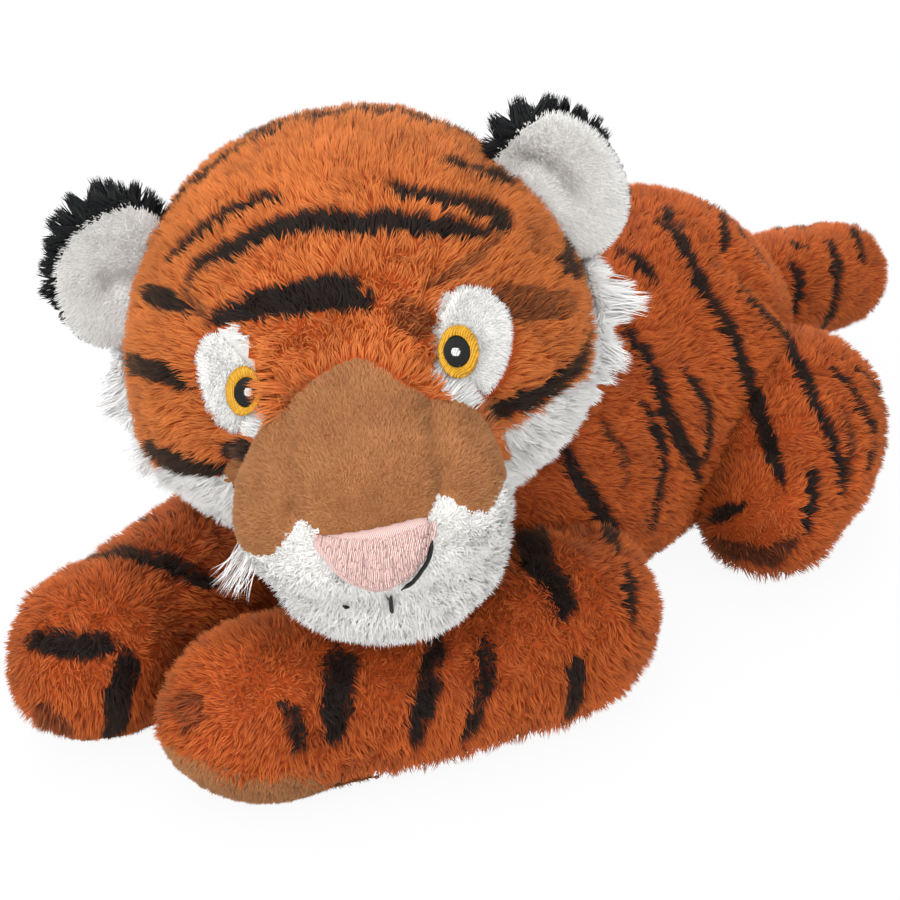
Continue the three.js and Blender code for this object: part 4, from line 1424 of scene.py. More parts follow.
TORSO_STRIPES = (
    Stripe((
        (668, 201), (671, 225), (682, 236), (694, 260), (709, 289), (729, 318), (741, 348), (750, 377),
        (759, 409), (767, 439), (779, 465), (785, 483),
    ), (1.4, 2.0, 1.8, 2.0, 1.8, 1.2)),
    Stripe(((656, 219), (672, 220), (688, 222)), (1.4, 1.8, 1.2), 0.7),
    Stripe((
        (738, 280), (753, 298), (773, 318), (791, 342), (806, 371), (817, 400), (832, 430), (844, 462),
        (847, 497),
    ), (1.2, 1.4, 1.4, 1.1)),
    Stripe(((722, 213), (728, 230), (726, 251)), (0.9, 1.2, 0.8)),
    Stripe(((618, 245), (633, 251), (647, 266), (656, 277)), (1.5, 1.9, 1.2)),
    Stripe((
        (630, 324), (641, 342), (656, 362), (665, 383), (671, 412), (682, 442), (697, 462), (703, 483),
    ), (1.2, 1.9, 2.0, 1.8, 1.2)),
    Stripe(((685, 362), (697, 383), (709, 403), (713, 424), (710, 450), (703, 471)), (0.8, 1.3, 1.5, 1.1)),
    Stripe((
        (644, 401), (656, 421), (665, 447), (666, 471), (662, 494), (656, 518), (652, 538),
    ), (0.7, 1.2, 1.4, 1.2, 0.8)),
    Stripe(((606, 424), (621, 442), (630, 465), (627, 491)), (0.7, 1.0, 0.8), 0.7),
    Stripe(((565, 442), (574, 465), (583, 483), (603, 509), (615, 530), (621, 550)), (1.2, 1.8, 1.9, 1.3)),
    Stripe(((835, 365), (853, 383), (864, 406), (875, 424), (876, 447), (867, 474)), (1.0, 1.3, 1.3, 1.0)),
    Stripe(((816, 468), (817, 497), (811, 533)), (1.2, 1.6, 1.1)),
)
# Stripes on the sides that the photograph hides: [share along, first and last angle, half width]
RUMP_RINGS = (
    (0.5, 74, 118, 1.8), (0.58, 60, 104, 1.9), (0.66, 82, 140, 2.1), (0.74, 40, 108, 2.2),
    (0.81, 84, 160, 2.2), (0.88, 24, 100, 2.2), (0.94, 80, 170, 2.1), (0.98, 20, 200, 1.9),
    (0.3, -60, 20, 1.8), (0.3, 160, 240, 1.8),
)
FORELEG_LEFT_RINGS = ((0.5, 150, 250, 1.8), (0.72, 160, 240, 1.8), (0.3, 140, 230, 1.8), (0.62, -70, 10, 1.8))
FORELEG_RIGHT_RINGS = (
    (0.45, 60, 170, 1.9), (0.3, -20, 80, 1.9), (0.62, 150, 230, 1.9), (0.5, -70, 10, 1.8),
    (0.2, 90, 200, 1.8),
)
HIND_RINGS = ((0.14, 40, 150, 2.0), (0.3, -30, 100, 1.9), (0.46, 80, 190, 2.0), (0.62, 20, 110, 1.7))
TAIL_RINGS = (
    (0.22, 60, 330, 1.8), (0.38, 60, 300, 2.0), (0.54, 90, 350, 2.1), (0.7, 70, 320, 2.1),
    (0.86, 60, 350, 1.9),
)
TORSO_CREASES = (
    Crease(((723, 260), (744, 277), (762, 298), (785, 324), (797, 342), (814, 362)), 4.2, 3.6),
    Crease(((620, 330), (650, 420), (690, 500)), 1.4, 7.0),
)
HIND_STRIPES = (
    Stripe((
        (723, 318), (741, 348), (750, 377), (759, 409), (767, 439), (779, 465), (785, 483),
    ), (1.6, 2.0, 1.8, 1.2)),
    Stripe((
        (773, 318), (791, 342), (806, 371), (817, 400), (832, 430), (844, 462), (847, 497),
    ), (1.2, 1.4, 1.4, 1.1)),
    Stripe(((835, 365), (853, 383), (864, 406), (875, 424), (876, 447), (867, 474)), (1.0, 1.3, 1.3, 1.0)),
    Stripe(((861, 365), (882, 392), (891, 409)), (0.7, 0.9, 0.6)),
    Stripe(((844, 401), (853, 424), (855, 453), (853, 483)), (0.8, 1.0, 0.8), 0.7),
    Stripe(((816, 468), (817, 497), (811, 533)), (1.2, 1.6, 1.1)),
    Stripe(((706, 518), (726, 509), (744, 503)), (1.9, 1.9, 1.1)),
    # A wide dark band along the bottom of the hind paw: painted shade where the paw turns under towards the
    # floor.
    Stripe(((709, 544), (729, 556), (773, 562), (800, 541)), (1.8, 3.0, 2.8, 1.6), 0.7),
)
FORELEG_LEFT_STRIPES = (
    Stripe(((182, 636), (208, 627), (230, 617)), (1.1, 1.6, 1.0), 0.6),
    Stripe(((178, 623), (199, 606)), (0.8, 1.0), 0.6),
    Stripe(((178, 698), (183, 714), (180, 730)), (3.2, 3.8, 2.8), 0.5),
    Stripe(((289, 704), (296, 728), (303, 757)), (1.5, 1.9, 1.2), 0.9),
    Stripe(((341, 648), (342, 684), (339, 714), (337, 749)), (3.3, 3.2, 2.6, 1.5)),
    Stripe(((438, 636), (434, 666), (427, 706), (416, 749)), (1.8, 2.3, 2.2, 1.4)),
    Stripe(((486, 632), (490, 662), (486, 697), (473, 732), (464, 749)), (1.1, 1.6, 1.8, 1.5, 1.0)),
    Stripe((
        (533, 506), (531, 536), (538, 562), (559, 580), (570, 606), (568, 619),
    ), (2.6, 3.1, 3.0, 2.4, 1.7)),
    Stripe(((577, 489), (598, 510), (611, 528), (618, 549)), (1.2, 1.7, 1.5)),
    Stripe(((629, 562), (635, 584), (635, 623)), (1.2, 1.7, 1.2)),
    Stripe(((579, 662), (577, 692), (572, 723)), (1.7, 2.1, 1.3)),
)
# The short tan pile that shows along the lower edge of the left forepaw
SOLE_EDGE_OUTLINE = (
    (158, 728), (176, 734), (194, 746), (212, 765), (236, 779), (260, 779), (284, 773), (308, 773),
    (332, 786), (330, 812), (240, 822), (170, 790), (150, 750),
)
FORELEG_RIGHT_STRIPES = (
    Stripe((
        (30, 584), (56, 567), (87, 554), (117, 549), (147, 554), (173, 562), (195, 575), (217, 584),
    ), (1.3, 1.7, 1.8, 2.2, 2.5, 2.0)),
    Stripe(((104, 534), (139, 519), (169, 510)), (0.7, 1.0, 0.7), 0.8),
    Stripe(((22, 640), (56, 643), (91, 647), (117, 643)), (2.0, 2.9, 2.9, 1.8)),
    Stripe(((126, 649), (130, 666), (121, 697), (117, 727), (108, 749)), (1.8, 2.6, 2.6, 2.3, 1.4)),
    Stripe(((33, 712), (45, 722), (58, 738)), (3.0, 4.0, 3.0), 0.6),
)
TAIL_STRIPES = (
    Stripe(((754, 251), (766, 257), (766, 277), (759, 292)), (1.0, 1.7, 1.3)),
    Stripe(((791, 257), (801, 274), (803, 295), (791, 321)), (1.3, 1.7, 1.6, 1.0)),
    Stripe(((831, 239), (841, 263), (839, 292), (831, 318), (820, 333)), (1.7, 2.1, 2.1, 1.8, 1.2)),
    Stripe(((854, 227), (861, 245), (867, 263)), (1.6, 1.4, 0.9)),
    Stripe(((791, 239), (809, 245)), (1.0, 1.2)),
    Stripe(((852, 222), (860, 220), (866, 222)), (1.8, 2.2, 1.6), 0.7),
)


@dataclass
class Body:
    """The torso, the four legs and the tail."""

    torso_fine: int = 96
    leg_fine: int = 72
    tail_fine: int = 56
    head_gap: float = 3.4
    turned_head_gap: float = 2.2
    leg_bend_before: int = 6
    leg_bend_after: float = 26.0
    tail_bend: tuple = (0, 24, 0)
    short_pile_from: int = 3
    short_pile_rise: int = 12
    shortest: float = 0.3
    edge_facing: float = -0.25
    edge_height: int = 22
    edge_lift: float = 0.9
    edge_seed: int = 130
    foreleg_lie: float = 0.45
    foreleg_fall: tuple = (0, 0.1, -0.75)
    paw_end: tuple = (0.0, 0.0, -0.86)
    paw_shift: tuple = (0, 4.0, 0)
    haunch_lie: tuple = (0.3, 0.85, -0.45)
    haunch_start: int = 14
    haunch_span: int = 22
    torso: Limb = field(init=False)
    legs: dict[str, Limb] = field(init=False)
    tail: Limb = field(init=False)

    def __post_init__(self) -> None:
        """Makes the covers of the torso, the legs and the tail."""
        self.torso = Limb("torso", torso_form(), self.torso_fine, 1)
        self.legs = {name: Limb(name, leg_form(name), self.leg_fine, LEGS[name].seed) for name in LEGS}
        self.tail = Limb("tail", tail_form(), self.tail_fine, 6)

    def shape(self, form: BlockForm) -> None:
        """Presses in the hollow in which the head's form lies and turns, and the creases."""
        self.torso.keep_off(PLACES.head, form, self.head_gap)
        for turned in PLACES.head_limits():
            self.torso.keep_off(turned, form, self.turned_head_gap)
        self.torso.carve(TORSO_CREASES)
        for limb in (*self.legs.values(), self.tail):
            limb.carve()

    def print(self) -> None:
        """Prints the stripes that the photograph shows, and others on the sides that it hides."""
        self.torso.cast(TORSO_STRIPES, mirrored=True)
        self.torso.rings(RUMP_RINGS)
        hind = self.legs["hind_leg_left"]
        hind.rings(HIND_RINGS)
        hind.cast(HIND_STRIPES)
        self.legs["hind_leg_right"].prints.mirror(hind.prints)
        for limb, stripes, rings in (
            (self.legs["foreleg_left"], FORELEG_LEFT_STRIPES, FORELEG_LEFT_RINGS),
            (self.legs["foreleg_right"], FORELEG_RIGHT_STRIPES, FORELEG_RIGHT_RINGS),
            (self.tail, TAIL_STRIPES, TAIL_RINGS),
        ):
            limb.cast(stripes)
            limb.rings(rings)

    def _home(self, name: str) -> Home:
        """A leg's place in the frame."""
        pivot = PLACES.pivots[f"{name}_swing"]
        away = self.legs[name].form.nap(np.array([pivot]))[0]
        bend = ("torso", pivot - away * self.leg_bend_before, pivot + away * self.leg_bend_after)
        return Home(name, ORANGE_BACKING, (f"{name}_skin", f"{name}_stuffing"), 0.75, bend)

    def _dress_foreleg(self, name: str, hiding: tuple) -> None:
        """Grows a foreleg's pile, shorter near its sole, and the tan edge that the photograph shows."""
        leg, home = self.legs[name], self._home(name)
        places, normals = leg.surface.places, leg.surface.normals
        near = places[:, 1] < places[:, 1].min() + SOLE_REACH
        bare = (places[:, 2] < SOLE_HEIGHT) & near
        short = np.clip((places[:, 2] - self.short_pile_from) / self.short_pile_rise, self.shortest, 1)
        edge = np.zeros(len(places), bool)
        if name == "foreleg_left":
            facing = VIEWFINDER.facing(places, normals) > self.edge_facing
            outlined = inside_outline(VIEWFINDER.pixels(places + normals), SOLE_EDGE_OUTLINE)
            edge = outlined & facing & (places[:, 2] < self.edge_height)
            leg.surface = moved(leg.cover, places + normals * self.edge_lift * edge[:, None])
        nap = unit(leg.form.nap(leg.surface.places) * self.foreleg_lie + np.array(self.foreleg_fall))
        leg.dress(hiding, home, nap, bare | edge, np.where(near, short, 1.0))
        if edge.any():
            coat = Coat(leg.surface, edge * 1.0, nap)
            plant(f"{name}_sole_edge", VELOUR_PILE, self.edge_seed, coat, Home(name, TAN, bend=home.bend))

    def _dress_hind_leg(self, name: str, hiding: tuple) -> None:
        """Grows a hind leg's pile, which lies round its paw and back over its haunch."""
        leg = self.legs[name]
        places = leg.surface.places
        paw = leg.form.points(np.array([self.paw_end]), 0)[0]
        around = unit(places - paw + np.array(self.paw_shift))
        haunch = np.array(self.haunch_lie) * (math.copysign(1, places[:, 0].mean()), 1, 1)
        share = np.clip((places[:, 1] - paw[1] - self.haunch_start) / self.haunch_span, 0, 1)[:, None]
        leg.dress(hiding, self._home(name), unit(around * (1 - share) + haunch * share))

    def dress(self, head: Surface) -> None:
        """Args:
            head: the head's surface, which hides a part of the body.
        """
        torso = self.torso.surface
        limbs = tuple(limb.surface for limb in (*self.legs.values(), self.tail))
        nodes = ("torso_skin", "torso_stuffing", "pellet_pouch")
        self.torso.dress((head, *limbs), Home("torso", ORANGE_BACKING, nodes, 0.7))
        for name in self.legs:
            dress = self._dress_foreleg if name.startswith("foreleg") else self._dress_hind_leg
            dress(name, (torso, head))
        pivot = PLACES.pivots["tail_swing"]
        bend = ("torso", pivot, pivot + np.array(self.tail_bend))
        self.tail.dress((torso,), Home("tail", ORANGE_BACKING, ("tail_skin", "tail_stuffing"), 0.7, bend))


def head_form() -> BlockForm:
    """The head's form, in its own frame."""
    return BlockForm(HEAD_SIZE, (0, 0, 0), HEAD_ROUND_SHARE, HEAD_TAPER_SHARE)


def bridge_form() -> SoftForm:
    """The muzzle's upper form, in the head's own frame."""
    width, length, height = BRIDGE_SIZE
    spine = tuple(
        (out * width, -BRIDGE_ROOT_SHARE * HEAD_SIZE[1] - forward * length, lift * height - BRIDGE_DROP)
        for out, forward, lift in BRIDGE_SPINE_SHARES
    )
    return SoftForm((0, 0, 0), spine, width, height, BRIDGE_SECTION_SHARES)


def jaw_form() -> BlockForm:
    """The muzzle's lower form, in the head's own frame."""
    centre = (0, -JAW_AHEAD_SHARE * HEAD_SIZE[1], JAW_SIZE[2] / 2 - CHIN_DROP)
    return BlockForm(JAW_SIZE, centre, HEAD_ROUND_SHARE)


HEAD_STRIPES = (
    Stripe(((210, 155), (229, 141), (261, 127), (286, 121)), (1.0, 1.3, 1.0), 0.85),
    Stripe(((310, 119), (328, 113), (347, 110)), (0.9, 1.2, 0.9), 0.85),
    Stripe(((359, 110), (376, 110), (392, 110)), (0.9, 1.2, 0.9), 0.85),
    Stripe(((408, 114), (428, 117), (445, 121)), (0.9, 1.1, 0.7), 0.8),
    Stripe(((163, 257), (180, 243), (212, 217), (245, 200), (278, 190)), (1.0, 1.3, 1.3, 0.8)),
    Stripe((
        (180, 286), (192, 266), (212, 253), (245, 239), (269, 225), (302, 217), (327, 216), (359, 220),
        (384, 216), (416, 220), (449, 223), (490, 229),
    ), (1.2, 1.5, 1.8, 2.1, 2.1, 2.0, 1.9)),
    Stripe(((508, 208), (504, 219), (498, 229)), (1.8, 1.9, 1.6)),
    Stripe(((390, 182), (412, 188), (441, 192), (465, 198), (490, 206), (510, 212)), (1.0, 1.4, 1.8, 2.6)),
    Stripe(((443, 157), (465, 163), (490, 172), (512, 178)), (1.1, 1.5, 2.1)),
    Stripe((
        (204, 319), (229, 310), (261, 300), (294, 296), (327, 290), (347, 290), (363, 298),
    ), (1.6, 2.1, 2.5, 2.9, 2.9)),
    Stripe(((359, 294), (366, 300), (367, 307)), (2.0, 1.6, 1.0)),
    Stripe(((192, 270), (180, 294), (188, 304), (204, 310)), (0.8, 1.2, 1.2), 0.55),
    Stripe(((141, 290), (163, 298), (188, 306)), (1.3, 1.8, 1.3)),
    Stripe(((102, 359), (122, 361), (143, 368), (163, 376), (184, 390)), (1.6, 1.9, 1.6, 1.1)),
    Stripe(((143, 449), (171, 465), (204, 478), (229, 482)), (2.4, 3.3, 3.4, 2.6)),
    Stripe(((220, 457), (245, 445)), (2.2, 1.4)),
    Stripe(((565, 192), (567, 221), (571, 253), (565, 270)), (1.3, 1.8, 1.9, 1.6)),
    Stripe(((571, 265), (586, 265), (598, 265)), (2.4, 2.9, 2.6), 0.9),
    Stripe(((498, 294), (522, 302), (551, 304), (578, 300)), (2.6, 3.1, 2.6, 2.0), 0.6),
    Stripe((
        (488, 412), (510, 410), (539, 398), (563, 384), (584, 359), (592, 335),
    ), (1.6, 2.0, 1.8, 1.5, 0.9)),
    Stripe(((394, 310), (412, 314), (433, 331)), (2.4, 3.0, 2.0), 0.5),
    Stripe(((424, 286), (461, 270), (502, 233)), (0.6, 0.9, 0.7), 0.55),
)
# Arcs over the back of the head, which the photograph hides: how far behind its middle, first and last angle,
# and half width
BACK_STRIPES = (
    (10, -72, -10, 2.0), (17, -20, 70, 2.3), (25, -76, 8, 2.4), (33, -4, 74, 2.2), (40, -70, 22, 2.1),
    (46, 10, 64, 1.7), (49, -52, -14, 1.5), (22, 84, 134, 2.1), (36, 96, 128, 1.9), (22, -134, -88, 2.1),
    (38, -120, -84, 1.9),
)
TAN_OUTLINE = (
    (355, 350), (380, 362), (408, 383), (441, 398), (469, 398), (486, 412), (506, 441), (510, 457),
    (506, 490), (490, 520), (473, 514), (455, 500), (439, 488), (435, 519), (384, 538), (347, 537),
    (314, 531), (304, 520), (297, 512), (286, 539), (265, 560), (241, 553), (226, 531), (218, 498),
    (224, 465), (248, 440), (262, 412), (286, 402), (308, 376), (333, 362),
)
WHITE_OUTLINE = (
    (60, 420), (143, 453), (163, 474), (196, 494), (226, 500), (231, 484), (240, 470), (300, 470),
    (440, 470), (505, 470), (510, 455), (526, 449), (547, 441), (567, 412), (571, 398), (596, 380),
    (640, 400), (640, 760), (60, 760),
)
PATCH_OUTLINES = {
    "left": (
        (446, 300), (454, 290), (470, 286), (490, 290), (506, 308), (518, 332), (520, 356), (510, 380),
        (498, 396), (486, 400), (470, 396), (454, 386), (444, 376), (441, 352), (441, 328), (443, 311),
    ),
    "right": (
        (212, 330), (228, 326), (241, 332), (248, 347), (252, 365), (254, 400), (252, 422), (243, 435),
        (232, 434), (216, 424), (204, 405), (197, 380), (195, 358), (200, 342),
    ),
}
NOSE_OUTLINE = (
    (316, 535), (347, 539), (384, 538), (435, 521), (435, 535), (427, 555), (412, 576), (388, 590),
    (375, 591), (359, 586), (339, 572), (322, 547),
)
MUZZLE_CREASES = (
    Crease(((281, 400), (282, 430), (286, 457), (289, 486), (292, 514)), 2.6, 2.2),
    Crease(((430, 400), (434, 420), (437, 437), (440, 466), (441, 494)), 2.6, 2.2),
    Crease(((262, 400), (252, 440), (240, 470)), 1.2, 3.0),
    Crease(((470, 396), (500, 430), (512, 462)), 1.0, 3.0),
)


class Region(Enum):
    """The fabrics that the head is sewn from."""

    ORANGE = 0
    WHITE = 1
    TAN = 2
    FLEECE = 3
    NOSE = 4
    SURROUND = 5


# Which of the cover's backings, which are orange, white and tan, lies under each fabric
BACKING_ROWS = (0, 1, 2, 1, 2, 1)


@dataclass(frozen=True)
class Fabric:
    """One of the head's pile fabrics, with the CAD nodes that it stands for."""

    name: str
    region: Region
    kind: PileKind
    finish: PileFinish
    nodes: tuple = ()


FABRICS = (
    Fabric("head_pile", Region.ORANGE, HEAD_PILE, HEAD_ORANGE_PAINTED_SHEEN),
    Fabric("eye_surround", Region.SURROUND, SURROUND_PILE, LIT_WHITE),
    Fabric("cheek_pile", Region.WHITE, WHITE_PILE, WHITE),
    Fabric("muzzle_velour", Region.TAN, VELOUR_PILE, TAN, ("muzzle_bridge",)),
    Fabric("lip_fleece", Region.FLEECE, FLEECE_PILE, WHITE, ("muzzle_lips",)),
)


@dataclass
class Head:
    """The head's skin of five fabrics. Its own frame is in mm, looks along -y and has z upwards."""

    form_fine: int = 84
    muzzle_fine: int = 60
    voxel: float = 1.7
    smoothing: int = 14
    seams_seed: int = 11
    print_seed: int = 9
    pile_seed: int = 60
    muzzle_start: float = 30.0
    muzzle_half: float = 34.0
    lips_start: float = 42.0
    lips_top: int = -20
    chin_top: int = -12
    chin_start: int = 24
    white_low: int = -8
    tan_drawn_back: float = 1.3
    tan_drawn_from: int = -4
    tan_drawn_most: int = 20
    hidden_tan: tuple = (36, 40, -20, 66, 0.8)
    hidden_white: tuple = (-14, -13, 0.1)
    outline_lift: float = 1.5
    patch_lift: float = 3.1
    patch_near: float = 2.3
    patch_search: float = 0.02
    patch_beyond: float = 1.5
    fixed_facing: float = 0.4
    seen_facing: float = 0.1
    seen_lift: float = 1.2
    twin_within: float = 2.5
    rounds: int = 60
    free_rounds: int = 3
    arc_places: int = 40
    arc_from: int = 90
    arc_sway: int = 2
    nap_from: tuple = (0, -88, -14)
    nap_rise: float = 0.1
    hidden_depth: float = 1.5
    pile_share: float = 0.15
    seam_pile: float = 2.4
    cover: bpy.types.Object = field(init=False)
    surface: Surface = field(init=False)
    inverse: Matrix = field(init=False)
    prints: StripePrint = field(init=False, default_factory=StripePrint)

    def __post_init__(self) -> None:
        """Makes the cover of the head with its muzzle."""
        parts = [
            ball_mesh(head_form(), COVER_INSET, self.form_fine, PLACES.head),
            ball_mesh(bridge_form(), MUZZLE_INSET, self.muzzle_fine, PLACES.head),
            ball_mesh(jaw_form(), JAW_INSET, self.muzzle_fine, PLACES.head),
        ]
        self.cover = remeshed("head_cover", joined(parts), self.voxel, self.smoothing)
        self.inverse = PLACES.head.inverted()
        self.surface = Surface.of(self.cover.data)

    def local(self, places: np.ndarray) -> np.ndarray:
        """Places in the head's own frame, in mm."""
        return places @ np.array(self.inverse.to_3x3()).T + np.array(self.inverse.translation)

    def world(self, places: np.ndarray) -> np.ndarray:
        """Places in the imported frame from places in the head's own, in mm."""
        return places @ PLACES.head_turn.T + np.array(PLACES.head.translation)

    def shape(self) -> None:
        """Presses in the seams round the muzzle."""
        self.surface = carve(self.cover, MUZZLE_CREASES, 0.5, 16.0, self.seams_seed)

    def _drawn_regions(self, local: np.ndarray, seen: np.ndarray) -> np.ndarray:
        """The fabric at each vertex, by the outlines where the camera sees it and by its place elsewhere."""
        pixels = VIEWFINDER.pixels(self.surface.places + self.surface.normals * self.outline_lift)
        across, ahead, height = np.abs(local[:, 0]), -local[:, 1], local[:, 2]
        half, start, low, front, slope = self.hidden_tan
        tan_side = (across < half) & (ahead > start) & (height > low + np.maximum(0, front - ahead) * slope)
        back, top, rise = self.hidden_white
        white_side = (ahead > back) & (height < top + across * rise)
        tan = np.where(seen, inside_outline(pixels, TAN_OUTLINE), tan_side)
        white = np.where(seen, inside_outline(pixels, WHITE_OUTLINE), white_side)
        muzzle = ahead > self.lips_start
        region = np.full(len(local), Region.ORANGE.value)
        region[white & (height < self.white_low)] = Region.WHITE.value
        chin = (height < self.chin_top) & (ahead > self.chin_start) & ~tan
        region[chin & (region == Region.ORANGE.value)] = Region.WHITE.value
        lips = (across < JAW_SIZE[0] / 2 + 2) & muzzle & (height < 0)
        region[(white | (height < self.lips_top)) & lips] = Region.FLEECE.value
        drawn_back = np.clip(self.tan_drawn_from - height, 0, self.tan_drawn_most) * self.tan_drawn_back
        bridge = (ahead > self.muzzle_start + drawn_back) & (across < self.muzzle_half)
        region[tan & bridge] = Region.TAN.value
        region[muzzle & inside_outline(pixels, NOSE_OUTLINE)] = Region.NOSE.value
        return region

    def regions(self) -> np.ndarray:
        """How much of each fabric lies at each vertex of the cover, a row for each vertex."""
        surface = self.surface
        local = self.local(surface.places)
        seen = self._seen()
        region = self._drawn_regions(local, seen)
        fixed = seen & (VIEWFINDER.facing(surface.places, surface.normals) > self.fixed_facing)
        shares = self._evened(self._mirrored(region, seen, local), fixed)
        region = shares.argmax(axis=1)
        raised = VIEWFINDER.pixels(surface.places + surface.normals * self.patch_lift)
        for outline in PATCH_OUTLINES.values():
            patch = seen & inside_outline(raised, outline)
            shares[patch & (region == Region.ORANGE.value)] = np.eye(len(Region))[Region.SURROUND.value]
        return shares

    def _seen(self) -> np.ndarray:
        """Which vertices of the cover the camera sees."""
        surface = self.surface
        seen = VIEWFINDER.facing(surface.places, surface.normals) > self.seen_facing
        tree = surface.tree()
        for row in np.flatnonzero(seen):
            start = surface.places[row] + surface.normals[row] * self.seen_lift
            way = unit(VIEWFINDER.place - start)
            seen[row] = tree.ray_cast(Vector(start), Vector(way))[0] is None
        return seen

    def _mirrored(self, region: np.ndarray, seen: np.ndarray, local: np.ndarray) -> np.ndarray:
        """Gives each hidden vertex the fabric of its mirror image, where the camera sees that one."""
        shown = np.flatnonzero(seen)
        tree = tree_of(local[shown], shown)
        region = region.copy()
        for row in np.flatnonzero(~seen):
            _place, twin, away = tree.find(local[row] * MIRROR)
            if away < self.twin_within:
                region[row] = region[twin]
        return region

    def _evened(self, region: np.ndarray, fixed: np.ndarray) -> np.ndarray:
        """Lets the borders between the fabrics run on smoothly past the vertices where they are fixed."""
        mesh = self.cover.data
        edges = np.zeros(len(mesh.edges) * 2, np.int32)
        mesh.edges.foreach_get("vertices", edges)
        start, end = edges.reshape(-1, 2).T
        count = len(region)
        degree = np.bincount(start, minlength=count) + np.bincount(end, minlength=count)
        held = np.eye(len(Region))[region]
        shares = held.copy()
        for turn in range(self.rounds):
            kept = fixed if turn < self.rounds - self.free_rounds else np.zeros(count, bool)
            for fabric in range(len(Region)):
                column = shares[:, fabric]
                total = np.bincount(start, column[end], count) + np.bincount(end, column[start], count)
                shares[:, fabric] = np.where(kept, held[:, fabric], total / np.maximum(degree, 1))
        return shares

    def print(self) -> None:
        """Casts the stripes on the face and draws those on the back."""
        tree = self.surface.tree(OUTER)
        self.prints.cast(HEAD_STRIPES, tree)
        for behind, first, last, half in BACK_STRIPES:
            angles = np.radians(np.linspace(first, last, self.arc_places))
            turns = np.stack([angles * 9, angles * 0 + behind, angles * 0], axis=1)
            back = wavering(turns, 2.5, 7) * self.arc_sway + float(behind)
            starts = np.stack([np.sin(angles) * self.arc_from, back, np.cos(angles) * self.arc_from], axis=1)
            found = np.full(starts.shape, np.nan)
            for row, (start, middle) in enumerate(zip(self.world(starts), self.world(starts * (0, 1, 0)))):
                place = tree.ray_cast(Vector(start), Vector(unit(middle - start)))[0]
                if place is not None:
                    found[row] = place
            self.prints.add(found, (half * 0.5, half, half * 0.6))

    def nap(self) -> np.ndarray:
        """The way in which the head's pile lies: away from the nose and over the crown."""
        local = self.local(self.surface.places)
        away = local - np.array(self.nap_from)
        away[:, 2] += np.abs(local[:, 0]) * self.nap_rise
        return unit(away @ PLACES.head_turn.T)

    def _stretch(self, fabric: Fabric, share: np.ndarray) -> np.ndarray:
        """How long a fabric's pile is: shorter towards the lips' upper edge and along the muzzle's seams."""
        stretch = np.ones(len(share))
        if fabric.region == Region.FLEECE:
            height = self.local(self.surface.places)[:, 2]
            stretch = np.clip(0.55 + (-16 - height) / 34, 0.55, 1.1)
        if fabric.region in (Region.FLEECE, Region.TAN):
            stretch = stretch * np.clip(0.4 + (share - 0.5) * self.seam_pile, 0.1, 1)
        return stretch

    def dress(self, torso: Surface) -> None:
        """Args:
            torso: the torso's surface, which hides a part of the head.
        """
        surface = self.surface
        shares = self.regions()
        region = shares.argmax(axis=1)
        shown = np.where(surface.depth_in(torso) > self.hidden_depth, 0.0, 1.0)
        dark = self.prints.at(surface.places + surface.normals * OUTER, self.print_seed, 0.05)
        keep_values(self.cover.data, "dark", np.where(region == Region.ORANGE.value, dark, 0))
        Home("head", ORANGE_BACKING, ("head_skin", "head_stuffing"), 0.75).declare(self.cover)
        self._add_backings(region)
        under_patch, nap = self._patch_room(), self.nap()
        for number, fabric in enumerate(FABRICS):
            kept_off = under_patch & (fabric.region in (Region.ORANGE, Region.SURROUND))
            share = shares[:, fabric.region.value]
            weights = shown * (share > self.pile_share) * ~kept_off
            prints = self.prints if fabric.region == Region.ORANGE else None
            coat = Coat(surface, weights, nap, prints, self._stretch(fabric, share), share)
            home = Home("head", fabric.finish, fabric.nodes)
            plant(fabric.name, fabric.kind, self.pile_seed + number, coat, home)

    def _add_backings(self, region: np.ndarray) -> None:
        """Gives the cover's faces the backing of their own fabric."""
        mesh = self.cover.data
        for backing in (WHITE_BACKING, TAN_BACKING):
            mesh.materials.append(backing.material())
        first = [face.vertices[0] for face in mesh.polygons]
        mesh.polygons.foreach_set("material_index", np.array(BACKING_ROWS, np.int32)[region[first]])

    def _patch_room(self) -> np.ndarray:
        """Which vertices of the cover lie under the white eye patches."""
        under = np.zeros(len(self.surface.places), bool)
        for name in ("eye_patch_left", "eye_patch_right"):
            tree = BVHTree.FromBMesh(node_copy(name))
            for row, place in enumerate(self.surface.places):
                distance = tree.find_nearest(Vector(place) * MM, self.patch_search)[3]
                if distance is not None and distance < self.patch_near * MM:
                    under[row] = True
        pixels = VIEWFINDER.pixels(self.surface.places + self.surface.normals * OUTER)
        beyond = np.minimum(*(outside_by(pixels, outline) for outline in PATCH_OUTLINES.values()))
        return under & (beyond < self.patch_beyond)


